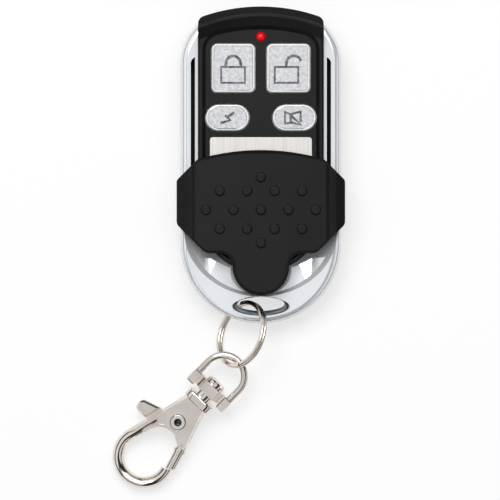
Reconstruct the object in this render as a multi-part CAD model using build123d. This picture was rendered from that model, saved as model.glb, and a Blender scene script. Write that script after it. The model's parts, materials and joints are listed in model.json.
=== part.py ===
from build123d import *
import os
from math import asin, atan2, cos, hypot, radians, sin, sqrt, tan

# Remote transmitter in a chromed frame with a slide cover, a split ring and a swivel trigger clasp.
# It lies on its back. +X is to its right, +Y towards the lamp end, +Z out of its front.
# The origin is the middle of the flat back face. All sizes are in millimetres.

# Driving sizes: fob outline
FOB_LENGTH = 60.2
FRAME_WIDTH = 30.5
FLANGE_WIDTH = 3.3
SHOULDER_RADIUS = 9.8
SHOULDER_DROP = 10.6
ARM_DROP = 3.4
LAMP_END_RADIUS = 33.5
SHELL_CORNER = 1.5
SHELL_LOWER_RISE = 21.6
BACK_INSET = 0.35
BACK_EDGE = 1.2
BACK_JOIN_STEP = 0.15
BACK_END_RISE = 6.35
RIM_DROP = 4.35
RIM_WIDTH = 1.45
RIM_SLOPE = 42.0
RIM_EDGE = 0.4
PANEL_CORNER = 3.0
BROW_RUN = (1.35, 1.9, 3.9)
BROW_RISE = 0.65
BROW_FALL = 0.7
BROW_ROUND = 0.25
RECESS_RADIUS = 14.3
RECESS_SHIFT = 1.7
RECESS_FLOOR = 0.95
RECESS_STEP = 0.55
RECESS_SKIN = 0.9
RECESS_WALL = 45.0

# Driving sizes: levels through the thickness
BACK_WALL = 1.6
BACK_RIM = 1.6
BATTERY_DIAMETER = 20.0
BATTERY_THICKNESS = 3.2
CONTACT_SPACE = 1.2
BOARD_THICKNESS = 1.0
SWITCH_HEIGHT = 1.1
STEM_RISE = 0.5
CAP_FOOT = 0.35
PANEL_THICKNESS = 1.0
PANEL_DEPTH = 0.7
CASE_WALL = 1.1
FRAME_DROP = 0.6
FRAME_SKIN = 1.2
FRAME_SIDE = 1.25
FRAME_EDGE = 1.5
WEB_DROP = 3.4
WEB_LIFT = 0.9
SLOPE_START = 22.2

# Driving sizes: buttons, lamp and plate
LOCK_SIZE = (8.1, 9.2)
LOCK_X = 5.23
LOCK_DROP = 11.7
OVAL_SIZE = (8.15, 4.9)
OVAL_X = 6.35
OVAL_DROP = 21.1
BUTTON_RISE = 0.6
BUTTON_TRAVEL = 0.3
BUTTON_EDGE = 0.3
BUTTON_LIP = 0.45
BUTTON_SKIN = 0.9
LAMP_DIAMETER = 1.8
LAMP_DROP = 5.7
LAMP_RISE = 0.6
PLATE_SIZE = (19.3, 8.4)
PLATE_DROP = 24.8
PLATE_THICKNESS = 0.4
PLATE_RISE = 0.15
PLATE_CORNER = 0.55
LAMP_FLANGE = (1.25, 0.6)
LAMP_LEAD = 0.25
LAMP_LEAD_X = 0.6

# Driving sizes: slide cover
COVER_OVERHANG = 0.75
COVER_WALL = 1.15
WING_WALL = 0.62
COVER_CROWN = 0.25
COVER_EDGE = 0.4
COVER_LENGTH = 27.55
COVER_BOTTOM_RISE = 5.4
TONGUE_RADIUS = 5.35
WING_BOTTOM = 4.6
LEG_THICKNESS = 0.6
LEG_LENGTH = 9.6
LEG_TOP_DROP = 3.6
HOOK_REACH = 0.5
HOOK_THICKNESS = 0.7
SLOT_TOP_DROP = 9.6
SLOT_CURVE = (0.2, 0.5, 1.5)
DOT_DIAMETER = 1.95
DOT_RISE = 0.35
DOT_ROUND = 0.28
DOT_PITCH = 5.2
DOT_DEPTH = 0.3
DOT_FIRST_DROP = 5.15
DOT_ROWS = ((0.0, 1), (2.6, 4), (6.2, 5), (9.8, 4), (12.5, 1))
COVER_SHOULDER = (4.0, 1.73)
WING_TOP_DROP = 5.72
WING_LOW_DROP = 14.05
KNEE = (5.5, 19.55)
COVER_ROUNDS = (1.5, 1.0, 1.5, 2.0, 2.5)
CREASE_IN = 2.55
CREASE_FALL = (1.6, 1.75)
CREASE_INNER = (1.1, 0.35)
CREASE_ROUND = 1.2
WING_STEP = (0.1, 0.3)
WING_ROUND = 0.6

# Driving sizes: eyelet and split ring
EYELET = (4.5, 1.3)
EYELET_MOUTH = (5.2, 1.8)
EYELET_RISE = 3.75
EYELET_LIP = (0.35, 0.18)
MOUTH_DEPTH = 1.0
MOUTH_SHIFT = 0.45
MOUTH_OVER = 0.5
MOUTH_TUCK = 0.2
RING_DIAMETER = 13.25
RING_WIRE = (0.85, 0.6)
RING_CENTRE = (-3.67, 2.02)
RING_TILT = 51.9
RING_TURN = 20.4
RING_SEAM = 0.22
RING_ROUND = 0.25
RING_STEP = (0.35, -62.0)

# Driving sizes: swivel and clasp, measured along the clasp from the middle of its bow
CLASP_TURN = 45.5
CLASP_PITCH = 7.0
LINK = (-4.32, 7.12)
BOW_RADIUS = 4.93
HOOK_WIDTH = 2.25
HOOK_DEPTH = 2.9
PIVOT_AT = 9.5
NECK_AT = 14.7
NECK_WIDTH = 6.0
NECK_DEPTH = 5.0
NECK_LENGTH = 1.3
CHEEK_DEPTH = 4.3
CHEEK_SINK = 0.15
SLOT_DEPTH = 1.7
SLOT_END_AT = 12.3
MOUTH_AT = 3.6
MOUTH_SIDE = -0.6
MOUTH_RADIUS = 3.45
MOUTH_RIM = 0.75
SIDE_LEAN = 14.2
BODY_ROOT = 3.2
BODY_RIGHT = ((7.1, -4.75), -2.35)
BODY_FLANK = 0.6
BODY_LIP = 1.05
BODY_RECESS = 0.4
BODY_END_AT = 5.4
WIRE_START_AT = 7.0
NOSE_ANGLE = -64.0
NECK_ROUND = 1.6
NECK_EDGE = 0.4
POST_END_AT = 13.5
POST_DIAMETER = 2.2
POST_HEAD_DIAMETER = 3.9
POST_HEAD_LENGTH = 0.9
WASHER_DIAMETER = 3.6
WASHER_LENGTH = 1.1
BARREL_WIDTH = 6.0
BARREL_LENGTH = 2.1
BAIL_WIRE = 1.4
BAIL_RADIUS = 4.0
BAIL_STRAIGHT = 2.5
FOOT_WIDTH = 1.7
FOOT_DROP = 0.6
FOOT_EDGE = 0.2
TRIGGER_THICKNESS = 1.55
TRIGGER_HUB = 2.3
TRIGGER_OPENING = 25.0
TAB_ROOT = (7.4, 9.3)
TAB_PAD = ((5.7, -0.955), (9.0, -1.755), (7.8, 1.845), (5.6, 1.845))
TAB_ROUND = 0.9
TAB_THICKNESS = 2.3
TAB_BEVEL = 0.35
ARM = ((9.5, -2.2), (8.3, 0.5), (6.2, -2.9), (6.2, -4.3), (7.4, -4.4))
GATE_ROOT = (6.8, -3.75)
GATE_TIP = (2.3, -5.05)
GATE_COLLAR = (1.2, 1.0, 0.45)
GATE_WIRE = 2.0
GATE_REACH = 9.15
GATE_GAP = 0.15
RIVET_DIAMETER = 2.1
RIVET_BORE = 1.4
RIVET_HEAD = 3.0
RIVET_SEAT = 0.85
RIVET_RISE = 0.4
SPRING_WIRE = 0.3
SPRING_TURNS = 2
SPRING_PITCH = 1.05
SPRING_LEGS = (1.6, 1.0)
SPRING_GAP = 0.09
SPRING_LOOSE = 0.15
SPRING_ROOM = 0.35

# Driving sizes: fasteners, fits and clearances
SCREW_DIAMETER = 2.0
SCREW_HEAD = 3.4
SCREW_HEAD_DEPTH = 1.1
BOSS_WALL = 0.85
SLIP = 0.05
LOOSE = 0.1
SWITCH_SIZE = 4.5
STEM_DIAMETER = 1.8
STEM_DEPTH = 0.5
SWITCH_PLATE = 0.15
SWITCH_FOOT = (0.7, 0.2)
SWITCH_FOOT_AT = 1.2
POST_RADIUS = 0.9
PILLAR_RADIUS = 0.7
NEST_WALL = 0.6
NEST_GAP = 6.0
BATTERY_SHIFT = 3.0
BOSS_INSET = 0.9
BOSS_DROP = 4.6
LOWER_BOSS_DROP = 0.3
SCREW_FREE_END = 0.5
SCREW_PAN = 0.9
SCREW_CROSS = (1.7, 0.4, 0.5)

# Driving sizes: parts on the board
CELL_EDGE = 0.25
CELL_CAP = (1.2, 0.3)
CONTACT_WIDTH = 4.0
CLIP_THICKNESS = 0.3
CLIP_START = 0.8
CLIP_FOOT = 2.2
LEAF_THICKNESS = 0.25
LEAF_RUN = (-4.0, -2.2, 2.0, 4.0)
LEAF_WIDTH = 3.0
CHIP_SIZE = (4.0, 5.0, 1.4)
CHIP_AT = (-4.5, 2.5)
CHIP_LIFT = 0.1
CHIP_PITCH = 1.27
CHIP_LEAD = (0.4, 0.3, 0.6, 0.7)
RESONATOR_SIZE = (5.0, 3.8, 1.4)
RESONATOR_AT = (5.0, -1.0)
RESISTOR_SIZE = (0.8, 1.6, 0.5)
RESISTOR_AT = (3.0, 4.0)
RESISTOR_PITCH = 1.7
TRANSISTOR_SIZE = (2.9, 1.4, 1.1)
TRANSISTOR_AT = (-4.15, -3.5)
AERIAL_HALF = 6.0
AERIAL_DROP = 8.0
AERIAL_HEIGHT = 1.1
AERIAL_WIRE = 0.3

# Outline values that follow from the driving sizes
top = FOB_LENGTH / 2
bottom = -top
frame_half = FRAME_WIDTH / 2
shell_half = frame_half - FLANGE_WIDTH
shoulder_y = top - SHOULDER_DROP
shoulder_x = frame_half - SHOULDER_RADIUS
arm_y = top - ARM_DROP
arm_end = arm_y - FRAME_SIDE
shell_centre = bottom + SHELL_LOWER_RISE

# Levels that follow from the driving sizes
battery_top = BACK_WALL + BATTERY_THICKNESS
board_bottom = battery_top + CONTACT_SPACE
board_top = board_bottom + BOARD_THICKNESS
switch_top = board_top + SWITCH_HEIGHT
stem_top = switch_top + STEM_RISE
panel_bottom = stem_top + CAP_FOOT
panel_top = panel_bottom + PANEL_THICKNESS
rim_top = panel_top + PANEL_DEPTH
button_top = panel_top + BUTTON_RISE
frame_bottom = BACK_WALL + BACK_RIM
frame_top = panel_top - FRAME_DROP
skin_bottom = frame_top - FRAME_SKIN
web_top = frame_top - WEB_DROP
cover_inner = rim_top + LOOSE
cover_outer = cover_inner + COVER_WALL
web_bottom = frame_bottom + WEB_LIFT
ring_middle = RING_DIAMETER / 2 - RING_WIRE[0] / 2
ring_tilt = radians(RING_TILT)
ring_z = RING_DIAMETER / 2 * sin(ring_tilt) + RING_WIRE[1] * cos(ring_tilt) + SLIP

# Places that follow from the driving sizes
lock_y = top - LOCK_DROP
oval_y = top - OVAL_DROP
lamp_y = top - LAMP_DROP
plate_top = top - PLATE_DROP
slope_y = bottom + SLOPE_START
back_end = bottom + BACK_END_RISE
eyelet_y = bottom + EYELET_RISE
cover_bottom = bottom + COVER_BOTTOM_RISE
cover_top = cover_bottom + COVER_LENGTH
leg_x = shell_half + CASE_WALL / 2 + LOOSE
leg_top = cover_top - LEG_TOP_DROP
leg_bottom = leg_top - LEG_LENGTH
slot_x = (leg_x - LOOSE, leg_x + LEG_THICKNESS + LOOSE)
slot_top = top - SLOT_TOP_DROP
slot_bottom = leg_bottom - 3 * LOOSE
recess_end = slot_bottom - RECESS_STEP
recess_level = web_top + RECESS_FLOOR
recess_seat = recess_level - RECESS_SKIN
battery_y = shell_centre + BATTERY_SHIFT
inner_half = shell_half - CASE_WALL / 2 - SLIP
boss_radius = SCREW_DIAMETER / 2 + BOSS_WALL
boss_x = inner_half - boss_radius - BOSS_INSET
boss_places = [
    (-boss_x, top - BOSS_DROP),
    (boss_x, top - BOSS_DROP),
    (0, shell_centre - inner_half + boss_radius - LOWER_BOSS_DROP),
]
button_places = {
    "lock": (-LOCK_X, lock_y),
    "unlock": (LOCK_X, lock_y),
    "flash": (-OVAL_X, oval_y),
    "mute": (OVAL_X, oval_y),
}

# The clasp's own frame: u along its axis from the bow's middle, v to its left, w out of its face
clasp_neck_end = NECK_AT + NECK_LENGTH
barrel_at = clasp_neck_end + WASHER_LENGTH + LOOSE
barrel_end = barrel_at + BARREL_LENGTH
bail_centre = barrel_end + BAIL_STRAIGHT
link_at = bail_centre + BAIL_RADIUS
bow_z = HOOK_DEPTH / 2 + BOW_RADIUS * sin(radians(CLASP_PITCH)) + SLIP
link_reach = link_at * cos(radians(CLASP_PITCH))
outer_bow = BOW_RADIUS + HOOK_WIDTH / 2
pad_corners = [(at, outer_bow + out) for at, out in TAB_PAD]
side_lean = radians(SIDE_LEAN)
spring_radius = RIVET_DIAMETER / 2 + SPRING_WIRE / 2 + SPRING_LOOSE
spring_height = (SPRING_TURNS * SPRING_PITCH + 1) * SPRING_WIRE + 2 * SPRING_GAP
spring_floor = TRIGGER_THICKNESS / 2 - spring_height
rivet_seat = CHEEK_DEPTH / 2 - RIVET_SEAT
clasp_place = (
    Pos(
        LINK[0] - link_reach * cos(radians(CLASP_TURN)),
        bottom - LINK[1] - link_reach * sin(radians(CLASP_TURN)),
        bow_z,
    )
    * Rot(0, 0, CLASP_TURN)
    * Rot(0, -CLASP_PITCH, 0)
)


def slab(plan, low, high):
    """A flat plan pulled up from one level to another."""
    return extrude(Pos(0, 0, low) * plan, amount=high - low)


def disc(radius, low, high, x=0.0, y=0.0):
    """An upright cylinder between two levels."""
    return slab(Pos(x, y) * Circle(radius), low, high)


def block(x_range, y_range, z_range):
    """A box between three pairs of limits."""
    size = [high - low for low, high in (x_range, y_range, z_range)]
    middle = [(high + low) / 2 for low, high in (x_range, y_range, z_range)]
    return Pos(*middle) * Box(*size)


def write(name, shape):
    """Store one piece under its own name."""
    shape.label = name
    export_step(shape, f"parts/{name}.step")


def on_clasp(shape):
    """Lay a piece of the clasp on the surface, linked to the ring."""
    return clasp_place * shape


def shell_plan(half, end, corner=SHELL_CORNER):
    """Straight sides, half-round lower end and gently curved lamp end."""
    corner_y = end - (LAMP_END_RADIUS - sqrt(LAMP_END_RADIUS**2 - half**2))
    outline = [
        Line((half, shell_centre), (half, corner_y)),
        ThreePointArc((half, corner_y), (0, end), (-half, corner_y)),
        Line((-half, corner_y), (-half, shell_centre)),
        ThreePointArc((-half, shell_centre), (0, shell_centre - half), (half, shell_centre)),
    ]
    plan = make_face(outline)
    return fillet(plan.vertices().group_by(Axis.Y)[-1], corner)


def shoulder_end(inset):
    """Where the rounded shoulder of the frame's outline stops at the lamp end."""
    radius = SHOULDER_RADIUS - inset
    end_y = arm_y - inset
    return shoulder_x + sqrt(radius**2 - (end_y - shoulder_y) ** 2), end_y


def shoulder_arc(inset, side):
    """The rounded shoulder itself, on the right (side 1) or on the left (side -1)."""
    radius = SHOULDER_RADIUS - inset
    end_x, end_y = shoulder_end(inset)
    half_angle = atan2(end_y - shoulder_y, end_x - shoulder_x) / 2
    middle = (
        side * (shoulder_x + radius * cos(half_angle)),
        shoulder_y + radius * sin(half_angle),
    )
    return ThreePointArc((side * (frame_half - inset), shoulder_y), middle, (side * end_x, end_y))


def frame_plan():
    """Outline of the chromed frame with its half-round lower end."""
    half = frame_half
    low_y = bottom + half
    end_x, end_y = shoulder_end(0)
    outline = [
        ThreePointArc((-half, low_y), (0, bottom), (half, low_y)),
        Line((half, low_y), (half, shoulder_y)),
        shoulder_arc(0, 1),
        Line((end_x, end_y), (-end_x, end_y)),
        shoulder_arc(0, -1),
        Line((-half, shoulder_y), (-half, low_y)),
    ]
    return make_face(outline)


def back_plan(inset):
    """Outline of the back casing, which stops short of the eyelet."""
    half = frame_half - inset
    end = top - inset
    end_x, end_y = shoulder_end(inset)
    join_x = shell_half - SHELL_CORNER + BACK_JOIN_STEP
    join_y = end - (LAMP_END_RADIUS - sqrt(LAMP_END_RADIUS**2 - join_x**2))
    outline = [
        ThreePointArc((-half, shell_centre), (0, back_end + inset), (half, shell_centre)),
        Line((half, shell_centre), (half, shoulder_y)),
        shoulder_arc(inset, 1),
        Line((end_x, end_y), (join_x, join_y)),
        ThreePointArc((join_x, join_y), (0, end), (-join_x, join_y)),
        Line((-join_x, join_y), (-end_x, end_y)),
        shoulder_arc(inset, -1),
        Line((-half, shoulder_y), (-half, shell_centre)),
    ]
    return make_face(outline)


def back_casing():
    """Black back half: flat back, rounded edge, rim under the frame, screw wells and board posts."""
    shell = slab(back_plan(BACK_INSET), 0, frame_bottom)
    shell = fillet(shell.faces().sort_by(Axis.Z)[0].edges(), BACK_EDGE)
    shell -= slab(shell_plan(shell_half + CASE_WALL / 2 + SLIP, top - CASE_WALL), BACK_WALL, frame_bottom)
    ring_in = BATTERY_DIAMETER / 2 + LOOSE
    nest = disc(ring_in + NEST_WALL, BACK_WALL, BACK_WALL + BATTERY_THICKNESS / 2, 0, battery_y)
    nest -= disc(ring_in, BACK_WALL, battery_top, 0, battery_y)
    contact_gap = (-NEST_GAP / 2, NEST_GAP / 2)
    nest -= block(contact_gap, (battery_y, battery_y + 2 * ring_in), (BACK_WALL, battery_top))
    shell += nest & slab(shell_plan(inner_half - LOOSE, top), 0, board_bottom)
    post_x = inner_half - 1.5 * POST_RADIUS
    for x in (-post_x, post_x):
        shell += disc(POST_RADIUS, BACK_WALL, board_bottom, x, oval_y + 2 * POST_RADIUS)
    for x, y in boss_places:
        shell -= disc(SCREW_HEAD / 2 + LOOSE, 0, SCREW_HEAD_DEPTH, x, y)
        shell -= disc(SCREW_DIAMETER / 2 + LOOSE, 0, BACK_WALL, x, y)
    return shell


def button_plan(kind, growth=0.0):
    """Plan of a button: rounded square for the two locks, oval for the other two."""
    if kind in ("lock", "unlock"):
        width, height = (size + 2 * growth for size in LOCK_SIZE)
        return RectangleRounded(width, height, 1.0 + growth)
    width, height = (size + 2 * growth for size in OVAL_SIZE)
    return SlotOverall(width, height)


def front_section():
    """Section through the lamp end, from the middle of its curve: level rim, raised brow, outer slope."""
    outer_run, crest_run, inner_run = (LAMP_END_RADIUS - run for run in BROW_RUN)
    crest = rim_top + BROW_RISE
    ridge = [(outer_run, crest), (crest_run, crest)]
    edge = LAMP_END_RADIUS + SLIP
    points = [(0, BACK_WALL), (edge, BACK_WALL), (edge, rim_top - BROW_FALL), *ridge, (inner_run, rim_top)]
    section = make_face(Polyline(*points, (0, rim_top), close=True))
    for point in ridge:
        section = fillet(corners_at(section, point), BROW_ROUND)
    return Pos(0, top - LAMP_END_RADIUS) * revolve(Plane.XZ * section, Axis.Z, 360)


def front_casing():
    """Black front half: foot under the frame, recessed panel, raised brow and button windows."""
    foot_half = shell_half + CASE_WALL / 2
    foot_plan = shell_plan(foot_half, top - CASE_WALL - SLIP)
    shell = slab(shell_plan(shell_half - SLIP, top), frame_bottom, rim_top + BROW_RISE) & front_section()
    rim = shell.edges().filter_by(lambda edge: abs(edge.center().Z - rim_top) < SLIP)
    shell = fillet([edge for edge in rim if edge.center().Y < lamp_y - RIM_DROP], RIM_EDGE)
    shell += slab(foot_plan, BACK_WALL, frame_bottom)
    foot = slab(shell_plan(foot_half, arm_end - SLIP), frame_bottom, skin_bottom)
    shell += foot - block((-frame_half, frame_half), (bottom, recess_end), (recess_seat, skin_bottom))
    shell -= slab(shell_plan(inner_half, top - 2 * CASE_WALL), 0, panel_bottom)
    panel = Pos(0, 0, panel_top) * shell_plan(shell_half - RIM_WIDTH, top - RIM_DROP, PANEL_CORNER)
    shell -= extrude(panel, amount=PANEL_DEPTH + BROW_RISE, taper=-RIM_SLOPE)
    for kind, place in button_places.items():
        shell -= slab(Pos(*place) * button_plan(kind, 2 * LOOSE), panel_bottom, rim_top)
    shell -= disc(LAMP_DIAMETER / 2 + SLIP, panel_bottom, rim_top + BROW_RISE, 0, lamp_y)
    plate_middle = plate_top - PLATE_SIZE[1] / 2
    width, height = (size + 2 * LOOSE for size in PLATE_SIZE)
    pocket = Pos(0, plate_middle) * RectangleRounded(width, height, PLATE_CORNER + SLIP)
    shell -= slab(pocket, panel_top + PLATE_RISE - PLATE_THICKNESS, panel_top)
    for x, y in boss_places:
        shell += disc(boss_radius, BACK_WALL, panel_bottom, x, y) & slab(foot_plan, 0, panel_bottom)
    for x, y in boss_places:
        shell -= disc(SCREW_DIAMETER / 2, BACK_WALL, panel_bottom - SCREW_FREE_END, x, y)
    for y in (lock_y, battery_y):
        shell += disc(PILLAR_RADIUS, board_top, panel_bottom, 0, y)
    return shell


def slope_radius():
    """Radius of the frame's long slope towards the eyelet."""
    return ((slope_y - bottom) ** 2 + WEB_DROP**2) / (2 * WEB_DROP)


def slope_at(y):
    """Height and lean of the frame's front at a place along its length."""
    lean = asin(max(0, slope_y - y) / slope_radius())
    return frame_top - slope_radius() * (1 - cos(lean)), lean


def side_profile():
    """Side view of the frame: level along the arms, falling to a thin web at the eyelet."""
    half_angle = slope_at(bottom)[1] / 2
    middle_y = slope_y - slope_radius() * sin(half_angle)
    outline = [
        Line((top, frame_bottom), (top, frame_top)),
        Line((top, frame_top), (slope_y, frame_top)),
        ThreePointArc((slope_y, frame_top), (middle_y, slope_at(middle_y)[0]), (bottom, web_top)),
        Line((bottom, web_top), (bottom, web_bottom)),
        Line((bottom, web_bottom), (back_end, frame_bottom)),
        Line((back_end, frame_bottom), (top, frame_bottom)),
    ]
    return Plane.YZ * make_face(outline)


def on_slope(y, sink=0.0):
    """Plane lying on the frame's front at a place along its length, or sunk below it."""
    level, lean = slope_at(y)
    return Plane(origin=(0, y, level - sink), x_dir=(1, 0, 0), z_dir=(0, -sin(lean), cos(lean)))


def mouth_plan(growth, sink):
    """Oval of the eyelet's mouth on the sloping front of the web, grown by a width and sunk by a depth."""
    return on_slope(eyelet_y - MOUTH_SHIFT, sink) * Ellipse(*(size + growth for size in EYELET_MOUTH))


def eyelet_cuts():
    """Oval way through the web and the two flared mouths that open it."""
    way = slab(Pos(0, eyelet_y) * Ellipse(*EYELET), frame_bottom - MOUTH_OVER, frame_top)
    throat = Ellipse(*(size - MOUTH_TUCK for size in EYELET))
    wide = Pos(0, eyelet_y, web_bottom - MOUTH_OVER) * Ellipse(*EYELET_MOUTH)
    throat_level = slope_at(eyelet_y)[0] - MOUTH_DEPTH
    front = loft([mouth_plan(MOUTH_OVER / 2, -MOUTH_OVER), Pos(0, eyelet_y, throat_level) * throat])
    return way, front, loft([wide, Pos(0, eyelet_y, web_bottom + MOUTH_DEPTH) * throat])


def eyelet_lip():
    """Raised lip round the eyelet's mouth."""
    width, rise = EYELET_LIP
    lip = extrude(mouth_plan(width, MOUTH_OVER), amount=MOUTH_OVER + rise)
    return chamfer(lip.faces().sort_by(Axis.Z)[-1].edges(), rise / 2)


def frame_recess():
    """Dished hollow in the frame's lower end: shallow floor round the casing and a sloping step."""
    middle_y = shell_centre - RECESS_SHIFT
    low_level = slope_at(middle_y - RECESS_RADIUS)[0] - RECESS_STEP
    high_level = slope_at(recess_end)[0] - RECESS_STEP
    lean = atan2(high_level - low_level, recess_end - middle_y + RECESS_RADIUS)
    centre_level = low_level + RECESS_RADIUS * tan(lean)
    plane = Plane(origin=(0, middle_y, centre_level), x_dir=(1, 0, 0), z_dir=(0, -sin(lean), cos(lean)))
    outline = plane * Circle(RECESS_RADIUS)
    hollow = loft([Pos(0, shell_centre, recess_level) * Circle(shell_half), outline])
    hollow += extrude(outline, amount=4 * RECESS_STEP, taper=-RECESS_WALL)
    return hollow & block((-frame_half, frame_half), (bottom, recess_end), (0, 2 * frame_top))


def chrome_frame():
    """U-shaped chromed frame with guide slots for the cover and an eyelet in its lower end."""
    frame = slab(frame_plan(), frame_bottom, frame_top)
    frame &= extrude(side_profile(), amount=frame_half, both=True)
    upper = frame.faces().filter_by(lambda face: face.normal_at().Z > 0.9)
    seam = set(upper[0].edges()) & set(upper[1].edges())
    rim = [edge for face in upper for edge in face.edges() if edge not in seam]
    frame = fillet(rim, min(FRAME_EDGE, 0.9 * (web_top - web_bottom)))
    opening_end = top + CASE_WALL
    frame -= slab(shell_plan(shell_half, opening_end), frame_bottom, frame_top)
    room = slab(shell_plan(frame_half - FRAME_SIDE, arm_end), frame_bottom, skin_bottom)
    room -= block((-frame_half, frame_half), (bottom, recess_end), (recess_seat, skin_bottom))
    frame -= room
    frame -= frame_recess()
    for side in (-1, 1):
        inner, outer = (side * x for x in slot_x)
        inward, drop, start = SLOT_CURVE
        curve_start = (outer, slot_top - start)
        curve_middle = (outer - side * inward, slot_top - drop)
        outline = [
            Line((inner, slot_bottom), (outer, slot_bottom)),
            Line((outer, slot_bottom), curve_start),
            ThreePointArc(curve_start, curve_middle, (inner, slot_top)),
            Line((inner, slot_top), (inner, slot_bottom)),
        ]
        frame -= slab(make_face(outline), skin_bottom, frame_top)
    frame += eyelet_lip()
    for cut in eyelet_cuts():
        frame -= cut
    return frame


def corners_at(plan, point):
    """The corner of a plan at a point, and the one opposite."""
    target = Vector(*point)
    return [corner for corner in plan.vertices() if abs(Vector(abs(corner.X), corner.Y) - target) < SLIP]


def cover_plan():
    """Plan of the cover: wide wings, sloping lower corners and a round tongue."""
    half = frame_half + COVER_OVERHANG
    shoulder = (half - COVER_SHOULDER[0], cover_top - COVER_SHOULDER[1])
    wing_high = (half, cover_top - WING_TOP_DROP)
    wing_low = (half, cover_top - WING_LOW_DROP)
    knee = (half - KNEE[0], cover_top - KNEE[1])
    root = (TONGUE_RADIUS, cover_top - KNEE[1])
    tongue = (TONGUE_RADIUS, cover_bottom + TONGUE_RADIUS)
    right = [shoulder, wing_high, wing_low, knee, root, tongue]
    left = [(-x, y) for x, y in right]
    outline = [ThreePointArc(left[0], (0, cover_top), right[0])]
    for side in (right, left):
        outline += [Line(start, end) for start, end in zip(side, side[1:])]
    outline.append(ThreePointArc(right[-1], (0, cover_bottom), left[-1]))
    plan = make_face(outline)
    for point, radius in zip((shoulder, wing_high, wing_low, knee, root), COVER_ROUNDS):
        plan = fillet(corners_at(plan, point), radius)
    return plan


def cover_section():
    """Cross-section of the cover: crowned front, rolled crease and wings round the frame's sides."""
    wing_out = frame_half + COVER_OVERHANG
    wing_in = wing_out - WING_WALL
    crease = frame_half - CREASE_IN
    over, under = CREASE_INNER
    above, below = WING_STEP
    outer = [(crease, cover_outer), (crease + CREASE_FALL[0], cover_outer - CREASE_FALL[1])]
    outer.append((wing_out, frame_top + above))
    inner = [(wing_in, frame_top - below), (crease + over, frame_top + below), (crease - under, cover_inner)]
    right = outer + [(wing_out, WING_BOTTOM), (wing_in, WING_BOTTOM)] + inner
    left = [(-x, z) for x, z in right]
    edges = [ThreePointArc(left[0], (0, cover_outer + COVER_CROWN), right[0])]
    for side in (right, left):
        edges += [Line(start, end) for start, end in zip(side, side[1:])]
    edges.append(Line(right[-1], left[-1]))
    section = make_face(edges)
    section = fillet(corners_at(section, outer[0]), CREASE_ROUND)
    section = fillet(corners_at(section, outer[2]), WING_ROUND)
    return Plane.XZ * section


def dot_places():
    """Middle of each raised dot: a diamond of five rows, counted from the row nearest the lamp."""
    first = cover_top - DOT_FIRST_DROP
    places = []
    for drop, count in DOT_ROWS:
        start = -(count - 1) / 2 * DOT_PITCH
        places += [(start + index * DOT_PITCH, first - drop) for index in range(count)]
    return places


def dot():
    """One raised dot, its foot sunk into the cover."""
    stud = disc(DOT_DIAMETER / 2, -DOT_DEPTH, DOT_RISE)
    return fillet(stud.edges().sort_by(Axis.Z)[-1], DOT_ROUND)


def slide_cover():
    """Slide cover with raised dots and two hooked legs that run in the frame's slots."""
    keep = slab(cover_plan(), 0, cover_outer + COVER_CROWN)
    keep = chamfer(keep.faces().sort_by(Axis.Z)[-1].edges(), COVER_CROWN + COVER_EDGE)
    cover = extrude(cover_section(), amount=FOB_LENGTH, both=True) & keep
    half_chord = frame_half - CREASE_IN
    crown_radius = (half_chord**2 + COVER_CROWN**2) / (2 * COVER_CROWN)
    for x, y in dot_places():
        surface = cover_outer + COVER_CROWN - (crown_radius - sqrt(crown_radius**2 - x**2))
        cover += Pos(x, y, surface) * dot()
    for side in (-1, 1):
        inner, outer = sorted((side * leg_x, side * (leg_x + LEG_THICKNESS)))
        leg_levels = (skin_bottom - LOOSE, cover_inner + COVER_WALL / 4)
        cover += block((inner, outer), (leg_bottom, leg_top), leg_levels)
        tip = sorted((side * leg_x, side * (leg_x + LEG_THICKNESS + HOOK_REACH)))
        hook_top = skin_bottom - LOOSE
        cover += block(tip, (leg_bottom, leg_top), (hook_top - HOOK_THICKNESS, hook_top))
    return cover


def label_plate():
    """Bare brushed plate, set in its pocket in the panel."""
    plan = Pos(0, plate_top - PLATE_SIZE[1] / 2) * RectangleRounded(*PLATE_SIZE, PLATE_CORNER)
    level = panel_top + PLATE_RISE
    return slab(plan, level - PLATE_THICKNESS, level)


def button(kind):
    """Silver cap with a lip under the panel and a foot on the switch stem."""
    place = Pos(*button_places[kind])
    cap = slab(button_plan(kind), panel_bottom, button_top)
    cap = fillet(cap.faces().sort_by(Axis.Z)[-1].edges(), BUTTON_EDGE)
    cap += slab(button_plan(kind, BUTTON_LIP), stem_top, panel_bottom)
    cap -= slab(button_plan(kind, -BUTTON_SKIN), stem_top, panel_bottom)
    cap += disc(STEM_DIAMETER / 2 + BUTTON_EDGE, stem_top, panel_bottom)
    return place * cap


def switch_base():
    """Body of one tactile switch with the well that its stem sinks into."""
    half = SWITCH_SIZE / 2
    body = block((-half, half), (-half, half), (board_top, switch_top - SWITCH_PLATE))
    well_floor = switch_top - STEM_DEPTH - BUTTON_TRAVEL - SLIP
    return body - disc(STEM_DIAMETER / 2 + SLIP, well_floor, switch_top)


def switch_cover():
    """Pressed metal plate on one switch, with the hole for its stem and four folded feet."""
    half = SWITCH_SIZE / 2
    plate = slab(Rectangle(SWITCH_SIZE, SWITCH_SIZE), switch_top - SWITCH_PLATE, switch_top)
    plate -= disc(STEM_DIAMETER / 2 + SLIP, switch_top - SWITCH_PLATE, switch_top)
    width, thickness = SWITCH_FOOT
    for side in (-1, 1):
        for across in (-SWITCH_FOOT_AT, SWITCH_FOOT_AT):
            foot = sorted((side * half, side * (half + thickness)))
            plate += block(foot, (across - width / 2, across + width / 2), (board_top, switch_top))
    return plate


def switch_stem(kind):
    """Plunger of one tactile switch."""
    x, y = button_places[kind]
    return disc(STEM_DIAMETER / 2, switch_top - STEM_DEPTH, stem_top, x, y)


def at_buttons(make_piece):
    """The same piece at each of the four buttons."""
    return Compound([Pos(*place) * make_piece() for place in button_places.values()])


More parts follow.
